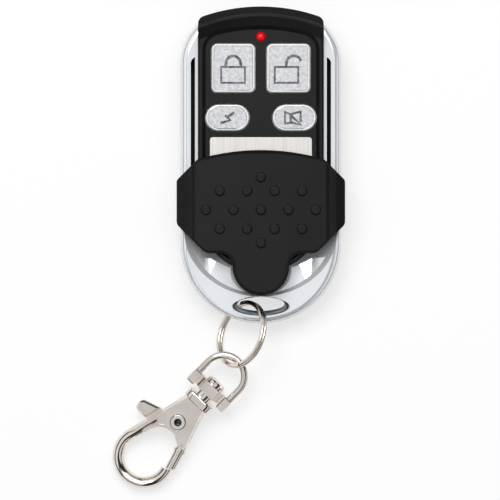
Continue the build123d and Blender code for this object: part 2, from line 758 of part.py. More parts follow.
def circuit_board():
    """Board between the casing halves, cut away round the screw bosses."""
    board = slab(shell_plan(inner_half - LOOSE, top - 2 * CASE_WALL - LOOSE), board_bottom, board_top)
    for x, y in boss_places:
        board -= disc(boss_radius + LOOSE, board_bottom, board_top, x, y)
    for x in (-LAMP_LEAD_X, LAMP_LEAD_X):
        board -= disc(LAMP_LEAD + SLIP, board_bottom, board_top, x, lamp_y)
    return board


def led():
    """Red lamp: dome, flange and two leads through the board."""
    radius = LAMP_DIAMETER / 2
    dome_base = panel_top + LAMP_RISE - radius
    lamp = disc(radius, board_top, dome_base, 0, lamp_y)
    lamp += Pos(0, lamp_y, dome_base) * Sphere(radius)
    lamp += disc(LAMP_FLANGE[0], board_top, board_top + LAMP_FLANGE[1], 0, lamp_y)
    for x in (-LAMP_LEAD_X, LAMP_LEAD_X):
        lamp += disc(LAMP_LEAD, board_bottom - LAMP_LEAD, board_top, x, lamp_y)
    return lamp


def battery():
    """Coin cell: can with its edge rounded and the smaller cap facing the board."""
    inset, rise = CELL_CAP
    can = disc(BATTERY_DIAMETER / 2, BACK_WALL, battery_top - rise, 0, battery_y)
    can = fillet(can.edges(), CELL_EDGE)
    return can + disc(BATTERY_DIAMETER / 2 - inset, battery_top - 2 * rise, battery_top, 0, battery_y)


def positive_contact():
    """Sprung clip that bears on the side of the cell and is soldered under the board."""
    rim = battery_y + BATTERY_DIAMETER / 2
    across = (-CONTACT_WIDTH / 2, CONTACT_WIDTH / 2)
    foot_bottom = board_bottom - CLIP_THICKNESS
    clip = block(across, (rim, rim + CLIP_THICKNESS), (BACK_WALL + CLIP_START, foot_bottom))
    return clip + block(across, (rim, rim + CLIP_FOOT), (foot_bottom, board_bottom))


def negative_contact():
    """Leaf spring between the board and the cap of the cell."""
    foot_end, bend, touch, end = (battery_y + run for run in LEAF_RUN)
    level = board_bottom - LEAF_THICKNESS
    touch_top = battery_top + LEAF_THICKNESS
    across = (-CONTACT_WIDTH / 2, CONTACT_WIDTH / 2)
    foot = block(across, (foot_end, bend + LEAF_THICKNESS), (level, board_bottom))
    points = [
        (bend, level),
        (bend, board_bottom),
        (touch, touch_top),
        (end, touch_top),
        (end, battery_top),
        (touch, battery_top),
    ]
    profile = Plane.YZ * make_face(Polyline(*points, close=True))
    return foot + extrude(profile, amount=LEAF_WIDTH / 2, both=True)


def encoder_chip():
    """Eight-legged encoder chip on the front of the board."""
    width, length, height = CHIP_SIZE
    lead_width, lead_thickness, reach, toe_length = CHIP_LEAD
    chip = block((-width / 2, width / 2), (-length / 2, length / 2), (CHIP_LIFT, CHIP_LIFT + height))
    knee_z = CHIP_LIFT + height / 2
    for side in (-1, 1):
        for index in range(4):
            middle = (index - 1.5) * CHIP_PITCH
            across = (middle - lead_width / 2, middle + lead_width / 2)
            bend = width / 2 + reach
            shoulder = sorted((side * width / 2, side * bend))
            shin = sorted((side * (bend - lead_thickness), side * bend))
            toe = sorted((side * (bend - lead_thickness), side * (bend + toe_length)))
            chip += block(shoulder, across, (knee_z - lead_thickness, knee_z))
            chip += block(shin, across, (0, knee_z))
            chip += block(toe, across, (0, lead_thickness))
    return Pos(CHIP_AT[0], battery_y + CHIP_AT[1], board_top) * chip


def saw_resonator():
    """Flat metal can that sets the radio frequency."""
    width, length, height = RESONATOR_SIZE
    can = slab(RectangleRounded(width, length, CELL_EDGE * 2), board_top, board_top + height)
    can = fillet(can.faces().sort_by(Axis.Z)[-1].edges(), CELL_EDGE)
    return Pos(RESONATOR_AT[0], battery_y + RESONATOR_AT[1]) * can


def on_board(size, x, y, turn=0):
    """A plain component standing on the front of the board."""
    width, length, height = size
    return Pos(x, y, board_top + height / 2) * Rot(0, 0, turn) * Box(width, length, height)


def small_components():
    """Chip resistors and capacitors, and the output transistor."""
    first_x, up = RESISTOR_AT
    chips = [on_board(RESISTOR_SIZE, first_x + RESISTOR_PITCH * index, battery_y + up) for index in range(4)]
    chips.append(on_board(TRANSISTOR_SIZE, TRANSISTOR_AT[0], battery_y + TRANSISTOR_AT[1]))
    chips.append(on_board(RESISTOR_SIZE, 0, (lock_y + oval_y) / 2 + RESISTOR_SIZE[1], 90))
    return Compound(chips)


def antenna_loop():
    """Bent wire aerial that stands on the front of the board."""
    height = board_top + AERIAL_HEIGHT
    y = battery_y - AERIAL_DROP
    ends = (-AERIAL_HALF, AERIAL_HALF)
    points = [(ends[0], y, board_top), (ends[0], y, height), (ends[1], y, height), (ends[1], y, board_top)]
    path = FilletPolyline(*points, radius=2 * AERIAL_WIRE)
    return sweep(Plane(origin=points[0], z_dir=(0, 0, 1)) * Circle(AERIAL_WIRE), path=path)


def case_screw():
    """Pan-headed screw with a cross recess, its head down in the back casing's well."""
    seat = SCREW_HEAD_DEPTH
    head_face = seat - SCREW_PAN
    head = disc(SCREW_HEAD / 2, head_face, seat)
    head = fillet(head.faces().sort_by(Axis.Z)[0].edges(), SCREW_PAN / 2)
    screw = head + disc(SCREW_DIAMETER / 2, seat, panel_bottom - 2 * SCREW_FREE_END)
    length, width, depth = SCREW_CROSS
    for turn in (0, 90):
        arm = block((-length / 2, length / 2), (-width / 2, width / 2), (head_face, head_face + depth))
        screw -= Rot(0, 0, turn) * arm
    return screw


def split_ring():
    """Flat wire wound twice round, with the seam between the turns and the step at the wire's end."""
    radial, height = RING_WIRE
    turn = RectangleRounded(radial, height, RING_ROUND)
    section = Pos(ring_middle, height / 2) * turn + Pos(ring_middle, -height / 2) * turn
    section += Pos(ring_middle, 0) * Rectangle(radial - 2 * RING_SEAM, height)
    ring = revolve(Plane.XZ * section, Axis.Z, 360)
    step, angle = RING_STEP
    ring -= Rot(0, 0, angle) * block((ring_middle - radial, ring_middle + radial), (0, step), (0, 2 * height))
    place = Pos(RING_CENTRE[0], bottom - RING_CENTRE[1], ring_z)
    return place * Rot(0, 0, -RING_TURN) * Rot(0, -RING_TILT, 0) * ring


def across_axis(at, plan):
    """A plan stood square to the clasp's axis at a distance from the bow's middle."""
    return Plane(origin=(at, 0, 0), x_dir=(0, 1, 0), z_dir=(1, 0, 0)) * plan


def swivel_bail():
    """D-shaped loop on a six-sided barrel that turns on the post."""
    foot_at = barrel_at - FOOT_DROP
    path = [
        Line((foot_at, BAIL_RADIUS, 0), (bail_centre, BAIL_RADIUS, 0)),
        ThreePointArc((bail_centre, BAIL_RADIUS, 0), (link_at, 0, 0), (bail_centre, -BAIL_RADIUS, 0)),
        Line((bail_centre, -BAIL_RADIUS, 0), (foot_at, -BAIL_RADIUS, 0)),
    ]
    bail = sweep(across_axis(foot_at, Pos(BAIL_RADIUS, 0) * Circle(BAIL_WIRE / 2)), path=Wire(path))
    bail += extrude(across_axis(barrel_at, RegularPolygon(BARREL_WIDTH / 2, 6)), amount=BARREL_LENGTH)
    bail += block((barrel_at, barrel_end), (-BAIL_RADIUS, BAIL_RADIUS), (-BAIL_WIRE / 2, BAIL_WIRE / 2))
    inner, outer = (BARREL_WIDTH / 2, BARREL_WIDTH / 2 + FOOT_WIDTH)
    for side in (-1, 1):
        across = sorted((side * inner, side * outer))
        foot = block((foot_at, barrel_end), across, (-FOOT_WIDTH / 2, FOOT_WIDTH / 2))
        bail += chamfer(foot.edges(), FOOT_EDGE)
    return bail - along_axis(POST_DIAMETER / 2 + SLIP, foot_at, barrel_end)


def along_axis(radius, start, end):
    """A round bar on the clasp's axis."""
    return extrude(across_axis(start, Circle(radius)), amount=end - start)


def swivel_post():
    """Headed post, pressed into the neck, with the washer that the barrel runs on."""
    head_at = barrel_end + SLIP
    post = along_axis(POST_DIAMETER / 2, POST_END_AT, head_at)
    post += along_axis(WASHER_DIAMETER / 2, clasp_neck_end, clasp_neck_end + WASHER_LENGTH)
    head = along_axis(POST_HEAD_DIAMETER / 2, head_at, head_at + POST_HEAD_LENGTH)
    return post + chamfer(head.faces().sort_by(Axis.X)[-1].edges(), POST_HEAD_LENGTH / 4)


def side_point(at, inset=0.0):
    """Point on the body's straight left edge, which leaves the bow at a tangent."""
    touch_at = outer_bow * sin(side_lean)
    return at, outer_bow * cos(side_lean) - (at - touch_at) * tan(side_lean) - inset / cos(side_lean)


def body_plan(inset=0.0):
    """Plan of the tapering body between the neck and the clasp's mouth."""
    right_low, neck_side = BODY_RIGHT
    across = inset / cos(side_lean)
    neck_at = NECK_AT - inset / 2
    left_low = side_point(outer_bow * sin(side_lean), inset)
    points = [
        side_point(neck_at, inset),
        left_low,
        (BODY_ROOT, left_low[1] - HOOK_WIDTH / 2),
        (right_low[0] - MOUTH_RIM, right_low[1] + across),
        (right_low[0], right_low[1] + across),
        (neck_at, neck_side + across),
    ]
    plan = make_face(Polyline(*points, close=True))
    return plan - Pos(MOUTH_AT, MOUTH_SIDE) * Circle(MOUTH_RADIUS + inset * MOUTH_RIM)


def cheek_profile(inset=0.0):
    """Side view of the body, tapering in thickness from the neck to the mouth."""
    high = CHEEK_DEPTH / 2 - inset
    low = HOOK_DEPTH / 2 - CHEEK_SINK - inset
    points = [(0, -low), (0, low), (NECK_AT, high), (NECK_AT, -high)]
    return Plane.XZ * make_face(Polyline(*points, close=True))


def hook_section():
    """Section of the bow: rounded flanks that meet in a ridge on each face."""
    ends = (0, -HOOK_DEPTH / 2), (0, HOOK_DEPTH / 2)
    return make_face([ThreePointArc(ends[0], (x, 0), ends[1]) for x in (-HOOK_WIDTH / 2, HOOK_WIDTH / 2)])


def hook_wire():
    """Bow of the hook, from beside the cheeks round to the nose, which ends on an arc about the rivet."""
    touch = (BOW_RADIUS * sin(side_lean), BOW_RADIUS * cos(side_lean))
    start = (WIRE_START_AT, touch[1] - (WIRE_START_AT - touch[0]) * tan(side_lean))
    nose = (BOW_RADIUS * cos(radians(NOSE_ANGLE)), BOW_RADIUS * sin(radians(NOSE_ANGLE)))
    path = [
        Line((*start, 0), (*touch, 0)),
        ThreePointArc((*touch, 0), (-BOW_RADIUS, 0, 0), (*nose, 0)),
    ]
    direction = Vector(touch[0] - start[0], touch[1] - start[1], 0).normalized()
    plane = Plane(origin=(*start, 0), x_dir=(-direction.Y, direction.X, 0), z_dir=direction)
    wire = sweep(plane * hook_section(), path=Wire(path))
    clear = disc(GATE_REACH + GATE_GAP, -HOOK_DEPTH, HOOK_DEPTH, PIVOT_AT, 0)
    gate_side = block((-BOW_RADIUS, PIVOT_AT), (-2 * BOW_RADIUS, -BOW_RADIUS / 4), (-HOOK_DEPTH, HOOK_DEPTH))
    return wire - (clear & gate_side)


def clasp_body():
    """Die-cast hook: bow, two recessed cheeks with the trigger's slot between them, and neck."""
    depth = CHEEK_DEPTH
    half = loft([body_plan(), Pos(0, 0, depth / 2) * body_plan(BODY_FLANK)], ruled=True)
    half &= extrude(cheek_profile(), amount=2 * BOW_RADIUS, both=True)
    half -= slab(body_plan(BODY_LIP), 0, depth) - extrude(
        cheek_profile(BODY_RECESS), amount=2 * BOW_RADIUS, both=True
    )
    body = half + mirror(half, Plane.XY)
    collar = across_axis(NECK_AT - NECK_EDGE, RectangleRounded(NECK_WIDTH, NECK_DEPTH, NECK_ROUND))
    neck = extrude(collar, amount=NECK_LENGTH + NECK_EDGE)
    ends = neck.faces().sort_by(Axis.X)
    body += fillet(ends[0].edges() + ends[-1].edges(), NECK_EDGE)
    slot = block((BODY_END_AT, SLOT_END_AT), (-2 * depth, 2 * depth), (-SLOT_DEPTH / 2, SLOT_DEPTH / 2))
    body += hook_wire()
    body -= slot
    gate_room = along_gate(GATE_WIRE / 2 + 3 * LOOSE, -GATE_WIRE / 2, GATE_REACH)
    body -= gate_room & block((MOUTH_AT, GATE_ROOT[0] + GATE_WIRE / 2), (-2 * depth, 0), (-depth, depth))
    for side in (-1, 1):
        seat = sorted((side * rivet_seat, side * depth))
        body -= disc(RIVET_HEAD / 2 + LOOSE, seat[0], seat[1], PIVOT_AT, 0)
    body -= disc(RIVET_DIAMETER / 2, -depth, depth, PIVOT_AT, 0)
    return body - along_axis(POST_DIAMETER / 2, POST_END_AT, clasp_neck_end)


def along_gate(radius, start, length):
    """A round bar on the gate's own line, from the cheeks towards the nose."""
    root = Vector(*GATE_ROOT, 0)
    line = (Vector(*GATE_TIP, 0) - root).normalized()
    return extrude(Plane(origin=root + line * start, z_dir=line) * Circle(radius), amount=length)


def trigger_plan():
    """Plan of the trigger's flat middle: thumb tab's root, hub and the arm that carries the gate."""
    low, high = pad_corners[:2]
    tab = make_face(Polyline((TAB_ROOT[1], 0), high, low, (TAB_ROOT[0], 0), close=True))
    arm = make_face(Polyline(*ARM, close=True))
    plan = tab + arm + Pos(PIVOT_AT, 0) * Circle(TRIGGER_HUB)
    return plan - Pos(MOUTH_AT, MOUTH_SIDE) * Circle(MOUTH_RADIUS)


def thumb_pad():
    """Thick end of the thumb tab, bevelled all round."""
    plan = make_face(Polyline(*pad_corners, close=True))
    plan = fillet(plan.vertices().group_by(Axis.Y)[-1], TAB_ROUND)
    pad = slab(plan, -TAB_THICKNESS / 2, TAB_THICKNESS / 2)
    faces = pad.faces().sort_by(Axis.Z)
    return chamfer(faces[0].edges() + faces[-1].edges(), TAB_BEVEL)


def spring_room():
    """Hollow in the trigger's upper face for the spring and for its two legs over the whole travel."""
    upper = TRIGGER_THICKNESS / 2
    room = disc(spring_radius + SPRING_ROOM, spring_floor, upper, PIVOT_AT, 0)
    to_neck = (PIVOT_AT, PIVOT_AT + 2 * TRIGGER_HUB)
    room += block(to_neck, (-TRIGGER_HUB, TRIGGER_HUB), (spring_floor, upper))
    reach = hypot(spring_radius, SPRING_LEGS[1]) + SPRING_WIRE
    fan = Pos(PIVOT_AT, 0) * CenterArc((0, 0), reach, 90 + TRIGGER_OPENING, 4 * TRIGGER_OPENING)
    wedge = make_face([fan, Line(fan @ 1, (PIVOT_AT, 0)), Line((PIVOT_AT, 0), fan @ 0)])
    return room + slab(wedge, spring_floor, upper)


def clasp_trigger():
    """Trigger in one piece: thumb tab, hub on the rivet and gate that closes on the nose."""
    half = TRIGGER_THICKNESS / 2
    lever = slab(trigger_plan(), -half, half) - spring_room()
    lever += thumb_pad()
    reach = disc(GATE_REACH, -GATE_WIRE, GATE_WIRE, PIVOT_AT, 0)
    lever += along_gate(GATE_WIRE / 2, 0, GATE_REACH) & reach
    collar_radius, collar_at, collar_length = GATE_COLLAR
    lever += along_gate(collar_radius, collar_at, collar_length)
    return lever - disc(RIVET_DIAMETER / 2 + SLIP, -half, half, PIVOT_AT, 0)


def trigger_spring():
    """Torsion spring round the rivet: one leg towards the gate, one against the neck."""
    pitch = SPRING_WIRE * SPRING_PITCH
    path = Helix(pitch, pitch * SPRING_TURNS, spring_radius)
    wire = Circle(SPRING_WIRE / 2)
    coil = sweep(Plane(origin=path @ 0, z_dir=path % 0) * wire, path=path, is_frenet=True)
    low_leg, high_leg = SPRING_LEGS
    coil += extrude(Plane(origin=path @ 0, z_dir=-(path % 0)) * wire, amount=low_leg)
    coil += extrude(Plane(origin=path @ 1, z_dir=path % 1) * wire, amount=high_leg)
    return Pos(PIVOT_AT, 0, spring_floor + SPRING_GAP + SPRING_WIRE / 2) * Rot(0, 0, 90) * coil


def trigger_rivet():
    """Hollow rivet that holds the cheeks and carries the trigger."""
    rivet = disc(RIVET_DIAMETER / 2, -rivet_seat, rivet_seat, PIVOT_AT, 0)
    for side in (-1, 1):
        low, high = sorted((side * rivet_seat, side * (rivet_seat + RIVET_RISE)))
        head = disc(RIVET_HEAD / 2, low, high, PIVOT_AT, 0)
        outer_face = head.faces().sort_by(Axis.Z)[-1 if side > 0 else 0]
        rivet += fillet(outer_face.edges(), RIVET_RISE / 2)
    return rivet - disc(RIVET_BORE / 2, -CHEEK_DEPTH, CHEEK_DEPTH, PIVOT_AT, 0)


os.makedirs("parts", exist_ok=True)
write("back_casing", back_casing())
write("front_casing", front_casing())
write("chrome_frame", chrome_frame())
write("slide_cover", slide_cover())
write("label_plate", label_plate())
for button_name in button_places:
    write(f"{button_name}_button", button(button_name))
    write(f"{button_name}_stem", switch_stem(button_name))
write("switch_bases", at_buttons(switch_base))
write("switch_covers", at_buttons(switch_cover))
write("circuit_board", circuit_board())
write("led", led())
write("battery", battery())
write("positive_contact", positive_contact())
write("negative_contact", negative_contact())
write("encoder_chip", encoder_chip())
write("saw_resonator", saw_resonator())
write("small_components", small_components())
write("antenna_loop", antenna_loop())
write("case_screws", Compound([Pos(x, y) * case_screw() for x, y in boss_places]))
write("split_ring", split_ring())
write("swivel_bail", on_clasp(swivel_bail()))
write("swivel_post", on_clasp(swivel_post()))
write("clasp_body", on_clasp(clasp_body()))
write("clasp_trigger", on_clasp(clasp_trigger()))
write("trigger_spring", on_clasp(trigger_spring()))
write("trigger_rivet", on_clasp(trigger_rivet()))
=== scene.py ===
"""Looks of a key-fob remote transmitter: slide cover, chromed frame, split ring and trigger clasp."""

import json
import math

import bmesh
import bpy
from mathutils import Matrix, Vector


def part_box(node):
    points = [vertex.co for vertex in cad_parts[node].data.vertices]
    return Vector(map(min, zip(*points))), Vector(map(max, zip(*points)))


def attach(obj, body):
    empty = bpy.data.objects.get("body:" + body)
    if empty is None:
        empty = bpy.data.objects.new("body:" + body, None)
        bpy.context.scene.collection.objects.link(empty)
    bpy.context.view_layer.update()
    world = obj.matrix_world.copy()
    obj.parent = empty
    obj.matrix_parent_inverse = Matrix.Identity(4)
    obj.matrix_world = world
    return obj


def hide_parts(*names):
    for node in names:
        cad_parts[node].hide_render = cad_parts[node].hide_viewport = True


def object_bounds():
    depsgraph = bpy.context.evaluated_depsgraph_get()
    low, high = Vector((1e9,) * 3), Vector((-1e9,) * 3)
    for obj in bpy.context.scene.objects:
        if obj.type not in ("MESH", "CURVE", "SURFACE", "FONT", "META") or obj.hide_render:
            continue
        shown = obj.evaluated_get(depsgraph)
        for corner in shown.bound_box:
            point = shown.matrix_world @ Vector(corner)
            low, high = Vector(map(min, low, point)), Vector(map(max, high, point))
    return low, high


bl_info = {
    "name": "Remote transmitter finishes",
    "version": (1, 0, 0),
    "blender": (4, 5, 0),
    "location": "View3D > Sidebar > Transmitter",
    "description": "Finishes, button symbols and studio for a key-fob remote transmitter",
    "category": "Object",
}

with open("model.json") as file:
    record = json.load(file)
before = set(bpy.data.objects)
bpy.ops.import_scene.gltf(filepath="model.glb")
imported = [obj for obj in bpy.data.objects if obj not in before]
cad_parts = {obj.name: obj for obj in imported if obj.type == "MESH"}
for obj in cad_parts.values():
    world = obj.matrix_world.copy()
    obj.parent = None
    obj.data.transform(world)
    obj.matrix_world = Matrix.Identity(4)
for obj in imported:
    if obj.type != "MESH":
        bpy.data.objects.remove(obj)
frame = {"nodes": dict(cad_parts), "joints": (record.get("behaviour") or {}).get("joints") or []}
CAD_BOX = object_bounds()
MM = 0.001

# Corners nearer to each other than this are one corner
MERGE_DISTANCE = 0.001 * MM

# A cap's face lies no deeper than this below the cap's highest point
FACE_DEPTH = 0.005 * MM

# Upward share of a polygon's normal, below which the polygon counts as sloping
LEVEL_NORMAL = 0.999

# Order of a cap's finishes: paint on its face, painted highlight on its rim and sides, painted shade in
# its symbol
PAINT, RIM_HIGHLIGHT, GROOVE_SHADE = range(3)

# Gap below the object, so that it doesn't lie in the floor's own plane
FLOOR_GAP = 0.01 * MM

# Width of the camera's film in millimetres, and the nearest distance that it shows in metres
FILM_WIDTH = 36.0
CLIP_START = 0.01

# Symbols, drawn as pen strokes in millimetres from the middle of their button's cap
PADLOCK_BODY = [(-2.28, 0.2), (2.2, 0.2), (2.2, -2.8), (-2.28, -2.8)]
OPEN_BODY = [(-2.6, 0.2), (1.85, 0.2), (1.85, -2.8), (-2.6, -2.8)]
SHACKLE_RADIUS = 1.38
BOLT_TOP = [(1.3, 1.0), (0.2, 0.22), (-0.5, 0.32)]
BOLT_LOW = [(-0.1, 0.1), (0.55, -0.5), (-1.35, -1.05)]
SPEAKER = [(-1.78, 1.1), (-1.78, -1.15), (-0.72, -0.92), (-0.72, 0.62)]
HORN = [(-0.72, 0.6), (1.2, 1.12), (1.2, -0.8)]
SLASH = [(-0.6, 0.3), (1.3, -1.4), (-0.72, -0.92)]

# Pin in the hollow rivet, whose dark finish is painted shade in its bore: radius and distance from its
# middle, in millimetres, from the axis outwards
CORE_CUP = ((0.0, 0.9), (0.3, 0.9), (0.36, 1.15), (0.52, 1.2), (0.6, 1.5), (0.69, 1.5))

# Tones of the split ring from the gap between its turns outwards, as shares of the gap's reach: painted
# shade, darkest at the gap
SEAM_SHADE_TONES = ((0.0, "#7a746c"), (0.35, "#8a847b"), (0.6, "#e0d7cc"), (1.0, "#e0d7cc"))

# Tones of the rivet from its axis outwards, as shares of its head's radius: painted shade in the bore
# and round the heads' edge
RIVET_SHADE_TONES = (
    (0.0, "#24211f"),
    (0.47, "#24211f"),
    (0.52, "#e8e1d9"),
    (0.88, "#e8e1d9"),
    (0.94, "#35312e"),
)

# How far the tones of the eyelet's mouth reach from its middle, in half sizes of the mouth
MOUTH_REACH = 1.06

# Tones of the chrome from the middle of the mouth outwards, as shares of that reach: painted shade
# inside the eyelet and painted dark reflections along its mouth's edge
MOUTH_SHADE_TONES = (
    (0.0, "#4c5157"),
    (0.66, "#4c5157"),
    (0.74, "#8d969e"),
    (0.86, "#a3acb4"),
    (0.93, "#33363a"),
    (0.96, "#33363a"),
    (1.0, "#eef1f4"),
)

# What metal mirrors: brightness by height, and by lean towards the lower right, with dark panels in it.
# A position is how much of a ray's direction points along the way, from -1 to 1.
RISE_WAY = (0.0, 0.0, 1.0)
RISE_LEVELS = (
    (-1.0, 0.7),
    (-0.1, 0.7),
    (0.02, 0.12),
    (0.26, 0.12),
    (0.38, 0.95),
    (0.8, 1.0),
    (1.0, 0.95),
)
LEAN_WAY = (0.88, -0.47, 0.0)
LEAN_LEVELS = (
    (-1.0, 0.6),
    (-0.8, 0.95),
    (-0.52, 1.0),
    (-0.45, 0.3),
    (-0.32, 0.35),
    (-0.25, 1.0),
    (-0.12, 0.78),
    (0.1, 0.78),
    (0.2, 1.0),
    (0.29, 0.9),
    (0.33, 0.03),
    (0.66, 0.05),
    (0.74, 0.95),
    (1.0, 0.6),
)

# The mirrored panels are slightly cool
PANEL_TINT = (0.985, 0.99, 1.0)


def arc_points(middle, radius, start, end, steps=16):
    """Points along a circular arc, in degrees, for a symbol's stroke."""
    angles = [math.radians(start + (end - start) * step / steps) for step in range(steps + 1)]
    return [(middle[0] + radius * math.cos(a), middle[1] + radius * math.sin(a)) for a in angles]


SHACKLE = [(1.5, 0.2)] + arc_points((0, 0.9), SHACKLE_RADIUS, 0, 180) + [(-1.5, 0.2)]
OPEN_SHACKLE = [(-0.45, 0.2)] + arc_points((1.02, 0.95), SHACKLE_RADIUS, 180, 15)

# Each stroke says whether it closes on itself
SYMBOLS = {
    "lock": [(PADLOCK_BODY, True), (SHACKLE, False)],
    "unlock": [(OPEN_BODY, True), (OPEN_SHACKLE, False)],
    "flash": [(BOLT_TOP, False), (BOLT_LOW, False)],
    "mute": [(SPEAKER, True), (HORN, False), (SLASH, False)],
}


def linear(code):
    """sRGB hex colour as the linear RGBA that Blender's sockets take."""
    parts = [int(code[i : i + 2], 16) / 255 for i in (1, 3, 5)]
    return tuple(c / 12.92 if c <= 0.04045 else ((c + 0.055) / 1.055) ** 2.4 for c in parts) + (1.0,)


def add_node(tree, kind, links=None, **settings):
    """Add a node, set its properties and fill its inputs with values or with other nodes' outputs."""
    node = tree.nodes.new(kind)
    for name, value in settings.items():
        setattr(node, name, value)
    for name, value in (links or {}).items():
        socket = node.inputs[name]
        if isinstance(value, bpy.types.NodeSocket):
            tree.links.new(value, socket)
        else:
            socket.default_value = value
    return node


def set_stops(ramp, stops):
    """Give a colour ramp its stops, from (position, linear colour) pairs."""
    while len(ramp.elements) < len(stops):
        ramp.elements.new(0.5)
    for element, (position, colour) in zip(ramp.elements, stops):
        element.position = position
        element.color = colour


def new_material(name, **shader):
    """A material with its Principled shader set, ready for its pattern."""
    material = bpy.data.materials.new(name)
    material.use_nodes = True
    tree = material.node_tree
    surface = tree.nodes["Principled BSDF"]
    for socket, value in shader.items():
        surface.inputs[socket.replace("_", " ")].default_value = value
    return material, tree, surface


def grain(tree, size, detail=3.0, stretch=(1.0, 1.0, 1.0), roughness=0.55):
    """Noise on the object's own coordinates, one speck about as wide as size in metres."""
    place = add_node(tree, "ShaderNodeTexCoord")
    scaled = add_node(
        tree,
        "ShaderNodeMapping",
        {"Vector": place.outputs["Object"], "Scale": tuple(s / size for s in stretch)},
    )
    noise = add_node(
        tree,
        "ShaderNodeTexNoise",
        {"Vector": scaled.outputs["Vector"], "Scale": 1.0, "Detail": detail, "Roughness": roughness},
    )
    return noise.outputs["Fac"]


def dress(tree, surface, pattern, tones=None, gloss=None, depth=None, reach=(0.3, 0.7)):
    """Drive colour (two hex tones), roughness (smooth, rough) and relief (metres) from one pattern."""
    if tones:
        ramp = add_node(tree, "ShaderNodeValToRGB", {"Fac": pattern})
        set_stops(ramp.color_ramp, [(position, linear(tone)) for position, tone in zip(reach, tones)])
        tree.links.new(ramp.outputs["Color"], surface.inputs["Base Color"])
    if gloss:
        spread = {"From Min": reach[0], "From Max": reach[1], "To Min": gloss[0], "To Max": gloss[1]}
        shine = add_node(tree, "ShaderNodeMapRange", {"Value": pattern, **spread})
        tree.links.new(shine.outputs["Result"], surface.inputs["Roughness"])
    if depth:
        bump = add_node(tree, "ShaderNodeBump", {"Height": pattern, "Distance": depth, "Strength": 1.0})
        tree.links.new(bump.outputs["Normal"], surface.inputs["Normal"])


def tone_by_distance(tree, surface, distance, reach, tones):
    """Colour a surface by its distance from a place. Tones are (share of reach, hex) pairs."""
    spread = add_node(
        tree, "ShaderNodeMapRange", {"Value": distance, "From Min": 0.0, "From Max": reach}
    )
    ramp = add_node(tree, "ShaderNodeValToRGB", {"Fac": spread.outputs["Result"]})
    set_stops(ramp.color_ramp, [(position, linear(tone)) for position, tone in tones])
    tree.links.new(ramp.outputs["Color"], surface.inputs["Base Color"])


def from_place(tree, place):
    """Object coordinates counted from a place, in metres."""
    found = add_node(tree, "ShaderNodeTexCoord")
    moved = add_node(
        tree, "ShaderNodeVectorMath", {0: found.outputs["Object"], 1: place}, operation="SUBTRACT"
    )
    return moved.outputs["Vector"]


def middle_of(name):
    """Middle of a CAD piece's box."""
    low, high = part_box(name)
    return tuple((a + b) / 2 for a, b in zip(low, high))


def joint_axis(name):
    """Direction of a joint's axis."""
    return next(joint["axis"] for joint in frame["joints"] if joint["name"] == name)


def black_abs(style):
    """Injection-moulded ABS from a spark-eroded tool: even grain, soft wide highlight."""
    material, tree, surface = new_material("spark_textured_abs", IOR=1.53, Specular_IOR_Level=0.15)
    drift = grain(tree, size=8 * MM, detail=2.0)
    dress(tree, surface, drift, tones=(style.casing_hex, style.casing_drift_hex))
    # The tool's grain is about 0.1 mm, too fine to show, so its specks are drawn twice as wide
    specks = grain(tree, size=style.grain_size)
    dress(tree, surface, specks, gloss=(0.36, 0.5), depth=0.003 * MM)
    return material


def bright_chrome(style):
    """Chrome plate over polished ABS: cool white mirror, with painted shade and painted dark reflections
    round the eyelet's mouth and inside it.
    """
    material, tree, surface = new_material("chrome_plate", Metallic=0.45)
    low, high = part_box("chrome_frame")
    mouth = ((low[0] + high[0]) / 2, low[1] + style.mouth_rise, 0.0)
    # The mouth is an ellipse, so each of its axes is counted in shares of its own reach
    shares = add_node(
        tree,
        "ShaderNodeVectorMath",
        {
            0: from_place(tree, mouth),
            1: tuple(1 / (MOUTH_REACH * size) for size in style.mouth_size) + (0.0,),
        },
        operation="MULTIPLY",
    )
    radius = add_node(tree, "ShaderNodeVectorMath", {0: shares.outputs["Vector"]}, operation="LENGTH")
    # The dark tones round and inside the mouth are painted shade and painted reflections
    tone_by_distance(tree, surface, radius.outputs["Value"], 1.0, MOUTH_SHADE_TONES)
    waves = grain(tree, size=6 * MM, detail=1.0)
    dress(tree, surface, waves, gloss=(0.035, 0.07), depth=0.004 * MM)
    return material


def satin_paint(style):
    """Metallic silver paint on moulded caps: mottled by its flake."""
    material, tree, surface = new_material("silver_flake_paint", Metallic=0.15, IOR=1.5)
    # One flake is about 0.05 mm, too fine to show, so what is drawn is the clouds that flakes form
    flake = grain(tree, size=style.flake_size, detail=5.0, roughness=0.75)
    tones = (style.paint_hex, style.paint_bright_hex)
    dress(tree, surface, flake, tones=tones, gloss=(0.3, 0.45), depth=0.006 * MM)
    return material


def rim_highlight_paint(style):
    """The same silver paint, nearly white and glossier, on the caps' rims and sides: a painted
    highlight.
    """
    material, tree, surface = new_material("silver_paint_rim_highlight", IOR=1.5)
    highlight_mottle = grain(tree, size=style.flake_size, detail=2.0)
    # Near-white tones: a painted highlight on the caps' rims and sides
    dress(tree, surface, highlight_mottle, tones=("#f6f6f7", "#ffffff"), gloss=(0.2, 0.3), depth=0.002 * MM)
    return material


def engraving_shade():
    """Painted shade on the floors of the engraved strokes: dark grey, paler in patches."""
    material, tree, surface = new_material("engraved_painted_shade", IOR=1.5, Specular_IOR_Level=0.3)
    shade_patches = grain(tree, size=0.7 * MM)
    # The dark grey on the strokes' floors is painted shade
    dress(tree, surface, shade_patches, tones=("#33343a", "#8f9094"), gloss=(0.45, 0.6), depth=0.004 * MM)
    return material


def brushed_aluminium(style):
    """Thin aluminium sheet brushed one way and clear lacquered: fine lines up and down, warm silver."""
    material, tree, surface = new_material("brushed_aluminium", Metallic=0.75)
    # Lines from a brush are about 0.05 mm apart, too fine to show, so they are drawn further apart
    lines = grain(tree, size=style.brush_spacing, stretch=(1.0, 0.012, 1.0), roughness=0.65)
    tones = (style.plate_hex, style.plate_line_hex)
    dress(tree, surface, lines, tones=tones, gloss=(0.32, 0.46), depth=0.002 * MM)
    return material


